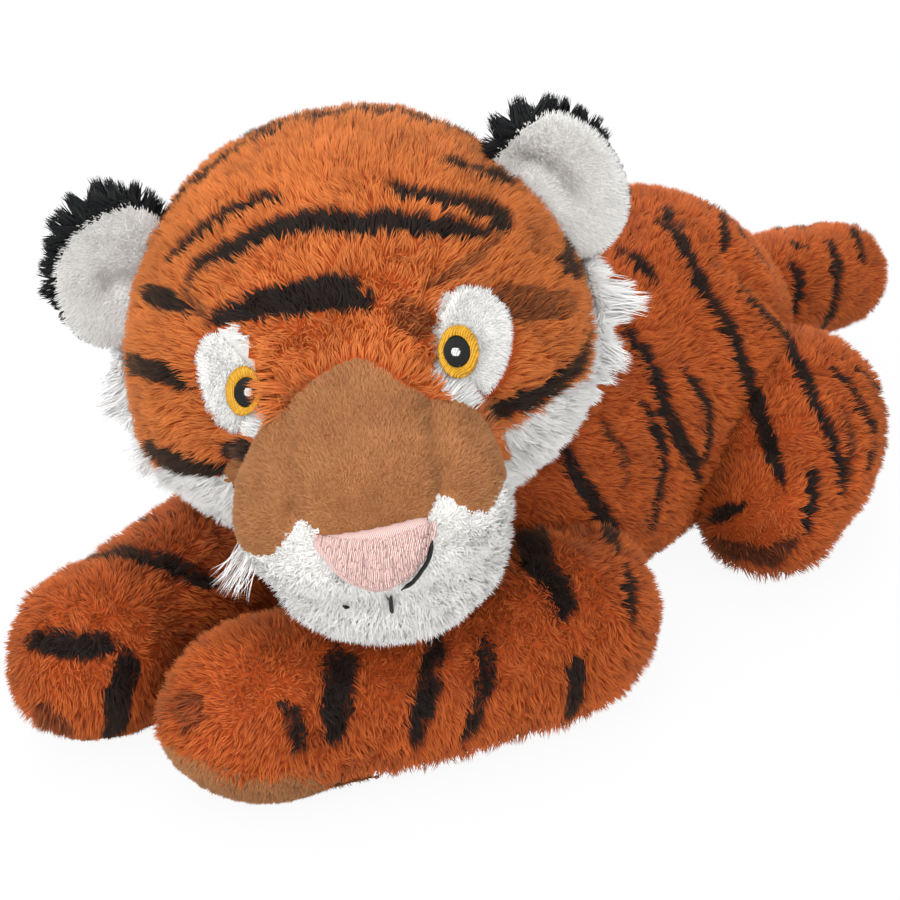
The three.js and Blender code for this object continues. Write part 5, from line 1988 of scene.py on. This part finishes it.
@dataclass
class Threads:
    """Rows of stitches that follow a surface, as one mesh."""

    radius: float
    sides: int = 5
    thin_end: float = 0.04
    swell: float = 3.2
    thinnest: float = 0.25
    places: list = field(init=False, default_factory=list)
    faces: list = field(init=False, default_factory=list)
    tone: list = field(init=False, default_factory=list)

    def add(self, line: np.ndarray, normals: np.ndarray, tone: float) -> None:
        """Adds one stitch, thin at its two ends.

        Args:
            line: places along the stitch, in mm.
            normals: the surface's normals there.
            tone: how much lighter or darker than the others it is, about -1 to 1.
        """
        count, sides = len(line), self.sides
        heading = unit(np.gradient(line, axis=0))
        side = unit(np.cross(heading, normals))
        top = np.cross(side, heading)
        base = sum(len(part) for part in self.places)
        shares = np.clip(np.linspace(0, 1, count), self.thin_end, 1 - self.thin_end)
        radius = self.radius * np.clip(np.sin(np.pi * shares) * self.swell, self.thinnest, 1)
        angles = np.arange(sides) * 2 * math.pi / sides
        rings = [
            place + np.outer(np.cos(angles), across) * size + np.outer(np.sin(angles), upwards) * size
            for place, across, upwards, size in zip(line, side, top, radius)
        ]
        self.places.append(np.vstack(rings + [line[:1], line[-1:]]))
        first = base + count * sides
        for low in range(base, first - sides, sides):
            for step in range(sides):
                after = (step + 1) % sides
                self.faces.append((low + step, low + after, low + sides + after))
                self.faces.append((low + step, low + sides + after, low + sides + step))
        end = first - sides
        for step in range(sides):
            after = (step + 1) % sides
            self.faces.append((first, base + after, base + step))
            self.faces.append((first + 1, end + step, end + after))
        self.tone.append(np.full(len(self.places[-1]), tone))

    def build(self, name: str) -> bpy.types.Object:
        """The stitches as one object."""
        mesh = mesh_of(name, np.vstack(self.places), np.array(self.faces))
        keep_values(mesh, "tone", np.concatenate(self.tone))
        return placed(name, mesh)


@dataclass(frozen=True)
class Stitch:
    """How stitches are laid: their radius and height in mm, their places, and how their tone varies."""

    radius: float
    lift: float
    puff: float
    places: int = 6
    sway: float = 0.5


RING_STITCH = Stitch(0.31, 0.35, 0.5)
PUPIL_STITCH = Stitch(0.34, 0.5, 0.3, places=8)
GLINT_STITCH = Stitch(0.3, 1.05, 0.2, sway=0.3)
NOSE_STITCH = Stitch(0.24, 0.05, 0.12, places=7)
MOUTH_STITCH = Stitch(0.5, 0.5, 0.3, sway=0.0)


@dataclass(frozen=True)
class EyeLook:
    """One eye in the photograph: the pixels of its ring's, pupil's and glint's middles, and two sizes."""

    ring: tuple
    size: tuple
    pupil: tuple
    pupil_size: tuple
    glint: tuple


EYES = {
    "right": EyeLook((244, 391), (36, 50), (248, 392), (25, 33), (250, 391)),
    "left": EyeLook((458, 352), (41, 54), (455, 352), (27, 36), (454, 352)),
}
NOSE_TOP = ((315, 534), (330, 537), (347, 539), (366, 539), (384, 538), (410, 530), (436, 520))
NOSE_BOTTOM = (
    (315, 537), (322, 548), (339, 573), (359, 587), (375, 592), (388, 591), (412, 577), (427, 556),
    (436, 534),
)
MOUTH_LINES = (
    ((432, 540), (429, 554), (425, 563), (412, 580), (401, 588)),
    ((390, 594), (391, 603), (392, 612)),
    ((343, 604), (346, 605), (350, 606)),
)


@dataclass
class Face:
    """The embroidery: eyes, nose and mouth."""

    head: Head
    patch_seed: int = 80
    patch_inset: float = 0.5
    patch_facing: float = 0.25
    patch_beyond: int = 2
    ring_room: float = 0.93
    sink_per_pixel: float = 0.9
    sink_most: float = 6.0
    patch_lift: float = 3.1
    least_places: int = 3
    towards_camera: float = 0.4
    ring_rows: int = 104
    ring_skew: float = 0.14
    ring_ragged: float = 0.015
    ring_start: float = 0.9
    pupil_rows: int = 23
    glint_rows: int = 7
    glint_radius: float = 4.6
    nose_way: tuple = (0, 1.0, 0.25)
    nose_inset: float = 1.3
    nose_rows: int = 84
    nose_stitch_length: int = 11
    nose_ragged: float = 0.35
    nose_overlap: float = 0.02
    rng: np.random.Generator = field(init=False)

    def __post_init__(self) -> None:
        """Starts the draws for the stitches."""
        self.rng = np.random.default_rng(SEED + 5)

    def _patch(self, side: str) -> None:
        """A white plush patch round an eye, let into the head."""
        name = f"eye_patch_{side}"
        cover = remeshed(f"{name}_cover", node_copy(name), 1.0, 6)
        surface = Surface.of(cover.data)
        beyond = outside_by(VIEWFINDER.pixels(surface.places), PATCH_OUTLINES[side])
        sunk = np.clip(beyond * self.sink_per_pixel, 0, self.sink_most)[:, None]
        inwards = surface.normals * self.patch_inset
        surface = moved(cover, surface.places - inwards - PLACES.off_head(surface.places) * sunk)
        facing = dots(surface.normals, PLACES.off_head(surface.places))
        weights = np.clip((facing - self.patch_facing) * 3, 0, 1)
        look = EYES[side]
        from_eye = (VIEWFINDER.pixels(surface.places) - look.ring) / (np.array(look.size) / 2)
        weights[(np.linalg.norm(from_eye, axis=1) < self.ring_room) | (beyond > self.patch_beyond)] = 0
        nap = unit(surface.places - surface.places.mean(axis=0) + 1e-3)
        Home("head", WHITE_BACKING, (name,), 0.3).declare(cover)
        seed = self.patch_seed + len(side)
        plant(f"{name}_pile", PATCH_PILE, seed, Coat(surface, weights, nap), Home("head", LIT_WHITE))

    def _laid(self, trees: tuple, pixels: np.ndarray, stitch: Stitch) -> tuple:
        """A stitch's middle on the first surface that the rays through pixels meet.

        Args:
            trees: the surfaces, the one to be met first in front.
            pixels: the pixels along the stitch.
            stitch: how it is laid.

        Returns:
            The places of its middle and the normals there; no rows where too few rays meet a surface.
        """
        line, normals = [], []
        for direction in VIEWFINDER.rays(pixels):
            for tree in trees:
                place, normal, _index, _distance = tree.ray_cast(Vector(VIEWFINDER.place), Vector(direction))
                if place is not None:
                    line.append(place[:])
                    normals.append(normal[:])
                    break
        if len(line) < self.least_places:
            return (), ()
        line, normals = np.array(line), np.array(normals)
        toward = unit(VIEWFINDER.place - line)
        normals = np.where(dots(normals, toward)[:, None] < 0, -normals, normals)
        normals = unit(normals + toward * self.towards_camera)
        shares = np.linspace(0, 1, len(line))
        return line + normals * (stitch.lift + stitch.puff * np.sin(np.pi * shares))[:, None], normals

    def _sew(self, name: str, rows: Iterable[np.ndarray], trees: tuple, stitch: Stitch, home: Home) -> None:
        """Args:
            name: the piece's name.
            rows: the rows of pixels.
            trees: the surfaces to sew on.
            stitch: how the stitches are laid.
            home: the piece's place in the frame.
        """
        threads = Threads(stitch.radius)
        for pixels in rows:
            line, normals = self._laid(trees, pixels, stitch)
            if len(line):
                threads.add(line, normals, float(self.rng.normal(0, stitch.sway)) if stitch.sway else 0.0)
        home.declare(threads.build(name))

    def _ring_rows(self, look: EyeLook) -> Iterator[np.ndarray]:
        """Rows of pixels that run outwards round the pupil."""
        shares = np.linspace(0, 1, RING_STITCH.places)[:, None]
        for turn in np.linspace(0, 2 * math.pi, self.ring_rows, endpoint=False):
            way = np.array((math.cos(turn), math.sin(turn)))
            skew = np.array((math.cos(turn + self.ring_skew), math.sin(turn + self.ring_skew)))
            start = np.array(look.pupil, float) + np.array(look.pupil_size, float) / 2 * way * self.ring_start
            ragged = 1 + self.rng.normal(0, self.ring_ragged)
            end = np.array(look.ring, float) + np.array(look.size, float) / 2 * skew * ragged
            yield start + (end - start) * shares

    @staticmethod
    def _oval_rows(
        middle: tuple, half: np.ndarray, count: int, places: int, upright: bool
    ) -> Iterator[np.ndarray]:
        """Rows of pixels that fill an oval side by side, upright or level."""
        shares = np.linspace(0, 1, places)[:, None]
        for across in np.linspace(-1, 1, count)[1:-1]:
            reach = math.sqrt(1 - across**2)
            ends = ((across, -reach), (across, reach)) if upright else ((-reach, across), (reach, across))
            start, end = (np.array(middle, float) + half * np.array(end) for end in ends)
            yield start + (end - start) * shares

    def eye(self, side: str) -> None:
        """One embroidered eye: gold ring, black pupil and white glint, on its patch."""
        self._patch(side)
        look = EYES[side]
        trees = (self.head.surface.tree(self.patch_lift),)
        half, dot = np.array(look.pupil_size, float) / 2, np.full(2, self.glint_radius)
        pupil = self._oval_rows(look.pupil, half, self.pupil_rows, PUPIL_STITCH.places, True)
        glint = self._oval_rows(look.glint, dot, self.glint_rows, GLINT_STITCH.places, False)
        for name, rows, stitch, finish in (
            (f"eye_ring_{side}", self._ring_rows(look), RING_STITCH, GOLD_THREAD),
            (f"pupil_{side}", pupil, PUPIL_STITCH, BLACK_THREAD),
            (f"eye_glint_{side}", glint, GLINT_STITCH, WHITE_THREAD),
        ):
            self._sew(f"{name}_stitching", rows, trees, stitch, Home("head", finish, (name,)))

    def _nose_rows(self) -> Iterator[np.ndarray]:
        """Rows of pixels that run down the nose, each cut into a few stitches."""
        top, bottom = drawn(NOSE_TOP, 1.0), drawn(NOSE_BOTTOM, 1.0)
        for share in np.linspace(0.005, 0.995, self.nose_rows):
            start = top[int(share * (len(top) - 1))]
            end = bottom[int(share * (len(bottom) - 1))]
            rows = max(1, int(round(np.linalg.norm(end - start) / self.nose_stitch_length)))
            cuts = np.linspace(0, 1, rows + 1)
            if rows > 1:
                cuts[1:-1] += self.rng.uniform(-self.nose_ragged, self.nose_ragged, rows - 1) / rows
            for low, high in zip(cuts, cuts[1:]):
                shares = np.linspace(low, min(1, high + self.nose_overlap), NOSE_STITCH.places)[:, None]
                yield start + (end - start) * shares + self.rng.normal(0, self.nose_ragged, 2)

    def nose(self) -> None:
        """The nose in pink satin stitch, with rows that run down it, and the mouth's lines."""
        pad = remeshed("nose_pad", node_copy("nose"), 0.6, 5)
        inward = unit(PLACES.head_turn @ np.array(self.nose_way))
        surface = moved(pad, Surface.of(pad.data).places + inward * self.nose_inset)
        Home("head", PINK_THREAD, ("nose",)).declare(pad)
        trees = (surface.tree(), self.head.surface.tree(self.nose_inset))
        self._sew("nose_stitching", self._nose_rows(), trees, NOSE_STITCH, Home("head", PINK_THREAD))
        mouth = (drawn(course, 2) for course in MOUTH_LINES)
        home = Home("head", BLACK_THREAD, ("mouth_stitch",))
        self._sew("mouth_stitching", mouth, trees, MOUTH_STITCH, home)


@dataclass(frozen=True)
class EarLook:
    """What the photograph shows of one ear."""

    lining: tuple
    long_corner: tuple
    creases: tuple


EAR_LOOKS = {
    "right": EarLook(
        (
            (53, 270), (61, 251), (77, 230), (103, 214), (126, 206), (145, 209), (160, 217), (200, 260),
            (180, 350), (110, 360), (85, 350), (62, 322), (56, 293),
        ),
        (400, 300),
        (Crease(((112, 286), (126, 283), (142, 283)), 1.6, 2.6),),
    ),
    "left": EarLook(
        (
            (506, 146), (524, 127), (548, 110), (571, 107), (598, 112), (616, 122), (660, 120), (680, 200),
            (640, 300), (590, 290), (480, 175),
        ),
        (602, 150),
        (Crease(((528, 165), (545, 170), (558, 182), (566, 198)), 1.8, 3.0),),
    ),
}


@dataclass
class Ears:
    """Both ears: a black plush back and a white plush lining."""

    head: Surface
    fine: int = 56
    inset: float = -1.4
    cup_depth: float = 3.4
    cup_back: float = 1.2
    hidden_depth: float = 1.0
    front_normal: float = 0.25
    nap_root: float = 0.2
    short_share: float = 0.3

    def _form(self, side: str) -> bpy.types.Object:
        """An ear as a cupped pad."""
        half = np.array(EAR_SIZE) / 2
        made = ball_mesh(BlockForm(EAR_SIZE, (half[0], 0, 0), 1.0), self.inset, self.fine)
        for vert in made.verts:
            place = np.array(vert.co[:]) / MM
            share = math.hypot((place[0] - half[0]) / half[0], place[2] / half[2])
            cup = self.cup_depth * max(0.0, 1 - share**2) - self.cup_back
            vert.co = Vector((place[0], place[1] + cup, place[2])) * MM
            vert.co = (PLACES.ears[side] @ (vert.co / MM)) * MM
        face_outwards(made)
        return object_of(f"ear_{side}_cover", made)

    def ear(self, side: str, seed: int) -> None:
        """One ear with its two piles.

        Args:
            side: left or right.
            seed: the random numbers of its piles.
        """
        look = EAR_LOOKS[side]
        body = f"ear_{side}"
        cover = self._form(side)
        surface = carve(cover, look.creases, 0.3, 9.0, seed)
        turn = np.array(PLACES.ears[side].to_3x3())
        local = (surface.places - np.array(PLACES.ears[side].translation)) @ turn
        pixels = VIEWFINDER.pixels(surface.places + surface.normals)
        front = (surface.normals @ turn)[:, 1] < self.front_normal
        lining = front & inside_outline(pixels, look.lining)
        shown = (surface.depth_in(self.head) < self.hidden_depth).astype(float)
        nap = unit((local - np.array((EAR_SIZE[0] * self.nap_root, 0, 0))) @ turn.T)
        Home(body, BLACK_BACKING, (f"ear_back_{side}",), 0.35).declare(cover)
        cover.data.materials.append(WHITE_BACKING.material())
        of_face = [int(all(lining[vertex] for vertex in face.vertices)) for face in cover.data.polygons]
        cover.data.polygons.foreach_set("material_index", of_face)
        stretch = np.where((pixels < look.long_corner).all(axis=1), 1.0, self.short_share)
        back = Coat(surface, shown * ~lining, nap, stretch=stretch)
        plant(f"{body}_back_pile", BLACK_PILE, seed, back, Home(body, BLACK))
        front_home = Home(body, WHITE, (f"ear_lining_{side}",))
        plant(f"{body}_lining_pile", LINING_PILE, seed + 1, Coat(surface, shown * lining, nap), front_home)


HEAD_MIDDLE = (350, 350)


@dataclass(frozen=True)
class LongLock:
    """A lock of long hairs that stands off the pile, by the pixels of its root and its tip."""

    root: tuple
    tip: tuple
    hairs: int = 10


THROAT_LOCKS = (
    LongLock((244, 556), (219, 592), 20),
    LongLock((248, 563), (229, 597), 18),
    LongLock((241, 550), (215, 579), 14),
    LongLock((252, 570), (239, 599), 12),
    LongLock((482, 566), (498, 582), 9),
    LongLock((470, 580), (482, 597), 6),
    LongLock((428, 618), (433, 642), 10),
    LongLock((416, 622), (418, 640), 6),
)
BRIDGE_LOCKS = (
    LongLock((286, 390), (247, 390), 30),
    LongLock((284, 402), (251, 406), 26),
    LongLock((276, 376), (249, 378), 20),
    LongLock((280, 412), (254, 420), 14),
    LongLock((276, 344), (255, 343), 22),
    LongLock((275, 352), (254, 353), 24),
    LongLock((276, 361), (252, 363), 22),
)


@dataclass
class Ruffs:
    """The tufts of long white pile along the cheeks, at the throat and under the chin."""

    head: Head
    inset: float = 1.4
    lock_width: float = 1.5
    tip_width: float = 0.2
    tip_stray: float = 0.35
    lock_search: float = 0.3
    lock_steps: int = 40
    lock_lift: float = 3.0
    tone_spread: float = 0.3
    lit_from: tuple = (0.0, -1.1, 0.5)
    parting: float = 0.55
    parting_width: float = 0.07
    parting_depth: float = 0.7
    shortest: float = 0.35

    def _stretch(self, local: np.ndarray, seed: int) -> np.ndarray:
        """How long a ruff's hairs are: shorter at its ends and at a parting, and uneven."""
        along = (local[:, 2] - local[:, 2].min()) / np.ptp(local[:, 2])
        stretch = np.clip(np.sin(np.pi * along) * 1.5, self.shortest, 1)
        stretch = stretch * (0.8 + 0.35 * wavering(local, 7, seed))
        away = (along - self.parting) / self.parting_width
        return stretch * (1 - self.parting_depth * np.exp(-(away**2)))

    def ruff(self, side: str, sign: int, seed: int) -> None:
        """One cheek's ruff.

        Args:
            side: left or right.
            sign: 1 on the left, -1 on the right.
            seed: the random numbers of its piles.
        """
        name = f"cheek_ruff_{side}"
        cover = remeshed(f"{name}_cover", node_copy(name), 1.4, 4)
        surface = Surface.of(cover.data)
        surface = moved(cover, surface.places - surface.normals * self.inset)
        local = self.head.local(surface.places)
        ways = [np.full(len(local), float(sign)), np.full(len(local), -0.05), -0.3 + local[:, 2] * 0.01]
        outward = unit(np.stack(ways, axis=1) @ PLACES.head_turn.T)
        weights = np.clip(dots(surface.normals, PLACES.off_head(surface.places)) * 2, 0, 1)
        Home("head", WHITE_BACKING, (name,), 0.3).declare(cover)
        lit = replace(surface, normals=unit(surface.normals + PLACES.head_turn @ self.lit_from))
        # The ruffs take the lighter white: painted light against the shade between the head and the body.
        home = Home("head", LIT_WHITE)
        long_coat = Coat(lit, weights, outward, stretch=self._stretch(local, seed))
        plant(f"{name}_pile", RUFF_PILE, seed, long_coat, home)
        plant(f"{name}_short_pile", WHITE_PILE, seed, Coat(lit, np.ones(len(local)), outward), home)

    def locks(self, name: str, locks: tuple, finish: PileFinish, width: float) -> None:
        """Long locks rooted on the head.

        Args:
            name: the piece's name.
            locks: where each lock starts and ends.
            finish: the hairs' finish.
            width: how thick a hair is, in mm.
        """
        rng = np.random.default_rng(SEED + len(locks))
        tree = self.head.surface.tree()
        roots, tips = [], []
        for lock in locks:
            shares = np.linspace(0, self.lock_search, self.lock_steps)[:, None]
            found = VIEWFINDER.cast(tree, shares * (np.array(HEAD_MIDDLE) - lock.root) + lock.root)
            found = found[~np.isnan(found[:, 0])]
            if not len(found):
                log.warning("a lock at %s has nothing to grow on", lock.root)
                continue
            depth = np.linalg.norm(found[0] - VIEWFINDER.place) - self.lock_lift
            tip = VIEWFINDER.place + VIEWFINDER.rays(np.array([lock.tip], float))[0] * depth
            spread = rng.normal(0, self.lock_width / 2, (lock.hairs, 3))
            roots.append(found[0] + spread)
            tips.append(tip + spread * self.tip_width + rng.normal(0, self.tip_stray, (lock.hairs, 3)))
        roots = np.vstack(roots)
        ways = np.vstack(tips) - roots
        tone = rng.normal(0, self.tone_spread, len(roots))
        lengths = np.linalg.norm(ways, axis=1)
        strands = Strands(roots, unit(ways), unit(VIEWFINDER.place - roots), lengths, 0 * tone, tone)
        Home("head", finish).declare(strands.build(name, RUFF_PILE, width, rng))


@dataclass
class NeckAndSoles:
    """The gathered neck behind the head, and the short-pile soles under the forepaws."""

    neck_inset: float = 2.0
    neck_seed: int = 120
    neck_nap: tuple = (0.0, 1.0, -0.3)
    least_shown: int = 20
    sole_inset: float = 0.9
    sole_rise: float = 0.3
    sole_spread: float = 0.6
    under_normal: float = -0.7
    under_weight: float = 0.4

    def neck(self, head: Surface, torso: Surface) -> None:
        """The neck's plush, which shows only between the head and the back.

        Args:
            head: the head's surface.
            torso: the torso's surface.
        """
        cover = remeshed("neck_cover", node_copy("neck_stuffing"), 2.0, 6)
        surface = Surface.of(cover.data)
        surface = moved(cover, surface.places - surface.normals * self.neck_inset)
        shown = (surface.depth_in(head) < self.neck_inset) & (surface.depth_in(torso) < self.neck_inset)
        Home("neck", ORANGE_BACKING, ("neck_stuffing",), 0.8).declare(cover)
        keep_values(cover.data, "dark", np.zeros(len(surface.places)))
        if shown.sum() > self.least_shown:
            nap = np.tile(np.array(self.neck_nap), (len(surface.places), 1))
            coat = Coat(surface, shown.astype(float), nap)
            plant("neck_pile", ORANGE_PILE, self.neck_seed, coat, Home("neck", ORANGE))

    def sole(self, side: str, seed: int) -> None:
        """One forepaw's sole.

        Args:
            side: left or right.
            seed: the random numbers of its pile.
        """
        name, body = f"foreleg_{side}_sole", f"foreleg_{side}"
        cover = remeshed(f"{name}_cover", node_copy(name), 1.3, 4)
        surface = Surface.of(cover.data)
        places = surface.places - surface.normals * self.sole_inset
        places[:, 2] = np.maximum(places[:, 2], surface.places[:, 2].min() + self.sole_rise)
        surface = moved(cover, places)
        outward = unit((surface.places - surface.places.mean(axis=0)) * (1, 1, 0.2))
        weights = np.clip(dots(surface.normals, outward) + self.sole_spread, 0, 1)
        weights[surface.normals[:, 2] < self.under_normal] *= self.under_weight
        Home(body, TAN_BACKING, (name,), 0.5).declare(cover)
        plant(f"{name}_pile", VELOUR_PILE, seed, Coat(surface, weights, outward), Home(body, TAN))


@dataclass(frozen=True)
class Lamp:
    """A square soft light: its place and size in mm, and its power."""

    name: str
    place: tuple
    size: float
    power: float


LAMPS = (
    Lamp("key", (60, -680, 600), 700, 5.8),
    Lamp("fill", (640, -300, 380), 560, 1.8),
    Lamp("top", (0, 60, 820), 700, 1.8),
    Lamp("back", (-420, 560, 420), 700, 4.2),
)


@dataclass
class Studio:
    """The pale floor, the soft lights and the camera: everything that isn't part of the object."""

    clip_start: float = 0.05
    floor_reach: int = 6
    floor_glow: float = 0.93
    floor_colour: tuple = (0.9, 0.9, 0.9, 1)
    floor_roughness: float = 0.8
    world_light: float = 0.5
    white: tuple = (1, 1, 1, 1)
    lamps_aim: tuple = (0, -20, 60)
    scene: bpy.types.Scene = field(init=False)

    def __post_init__(self) -> None:
        """Takes the scene that the tools have opened."""
        self.scene = bpy.context.scene

    def build(self) -> None:
        """Makes the camera, the floor, the world and the lamps."""
        self._camera()
        self._floor()
        self._world()
        for lamp in LAMPS:
            self._light(lamp)
        self.scene.view_settings.view_transform = "Standard"

    def _camera(self) -> None:
        """The photograph's camera."""
        camera = bpy.data.cameras.new("camera")
        camera.sensor_width = SENSOR
        camera.lens = FOCAL_PIXELS / PHOTO_SIZE * SENSOR
        camera.clip_start = self.clip_start
        thing = placed("camera", camera)
        thing.location = Vector(CAMERA_PLACE) * MM
        thing.rotation_euler = Vector(VIEWFINDER.ahead).to_track_quat("-Z", "Y").to_euler()
        self.scene.camera = thing

    def _floor(self) -> None:
        """A pale floor that the camera sees almost as bright as the background."""
        made = bmesh.new()
        bmesh.ops.create_grid(made, x_segments=2, y_segments=2, size=self.floor_reach)
        floor = object_of("floor", made)
        material = bpy.data.materials.new("pale_floor")
        material.use_nodes = True
        work = NodeWork(material.node_tree)
        shader = work.nodes["Principled BSDF"]
        work.feed(shader, {"Base Color": self.floor_colour, "Roughness": self.floor_roughness})
        glow = work.add("Emission", {"Color": self.white, "Strength": 1.0}, "Emission")
        camera_ray = work.add("LightPath", output="Is Camera Ray")
        seen = work.add("Math", {0: camera_ray, 1: self.floor_glow}, "Value", operation="MULTIPLY")
        surface = work.add("MixShader", {0: seen, 1: shader.outputs["BSDF"], 2: glow}, "Shader")
        work.feed(work.nodes["Material Output"], {"Surface": surface})
        floor.data.materials.append(material)

    def _world(self) -> None:
        """A white world, which lights the object less than the camera sees it shine."""
        world = bpy.data.worlds.new("studio")
        world.use_nodes = True
        work = NodeWork(world.node_tree)
        light = work.nodes["Background"]
        work.feed(light, {"Color": self.white, "Strength": self.world_light})
        shine = work.add("Background", {"Color": self.white, "Strength": 1.0}, "Background")
        camera_ray = work.add("LightPath", output="Is Camera Ray")
        surface = work.add("MixShader", {0: camera_ray, 1: light.outputs["Background"], 2: shine}, "Shader")
        work.feed(work.nodes["World Output"], {"Surface": surface})
        self.scene.world = world

    def _light(self, lamp: Lamp) -> None:
        """One soft light, turned to the object."""
        light = bpy.data.lights.new(lamp.name, "AREA")
        light.size = lamp.size * MM
        light.energy = lamp.power
        thing = placed(lamp.name, light)
        thing.location = Vector(lamp.place) * MM
        aim = Vector(self.lamps_aim) * MM - thing.location
        thing.rotation_euler = aim.to_track_quat("-Z", "Y").to_euler()


def main() -> None:
    """Builds the studio and the plush tiger, class by class."""
    logging.basicConfig(level=logging.INFO, format="%(name)s: %(message)s")
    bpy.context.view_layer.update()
    Studio().build()
    head = Head()
    head.shape()
    body = Body()
    body.shape(head_form())
    body.print()
    head.print()
    body.dress(head.surface)
    head.dress(body.torso.surface)
    face = Face(head)
    for side in ("left", "right"):
        face.eye(side)
    face.nose()
    ears = Ears(head.surface)
    ears.ear("left", 90)
    ears.ear("right", 94)
    ruffs = Ruffs(head)
    ruffs.ruff("left", 1, 100)
    ruffs.ruff("right", -1, 104)
    ruffs.locks("throat_locks", THROAT_LOCKS, WHITE, 0.18)
    ruffs.locks("bridge_locks", BRIDGE_LOCKS, HEAD_ORANGE_PAINTED_SHEEN, 0.42)
    extra = NeckAndSoles()
    extra.neck(head.surface, body.torso.surface)
    extra.sole("left", 110)
    extra.sole("right", 112)


if __name__ == "__main__":
    main()
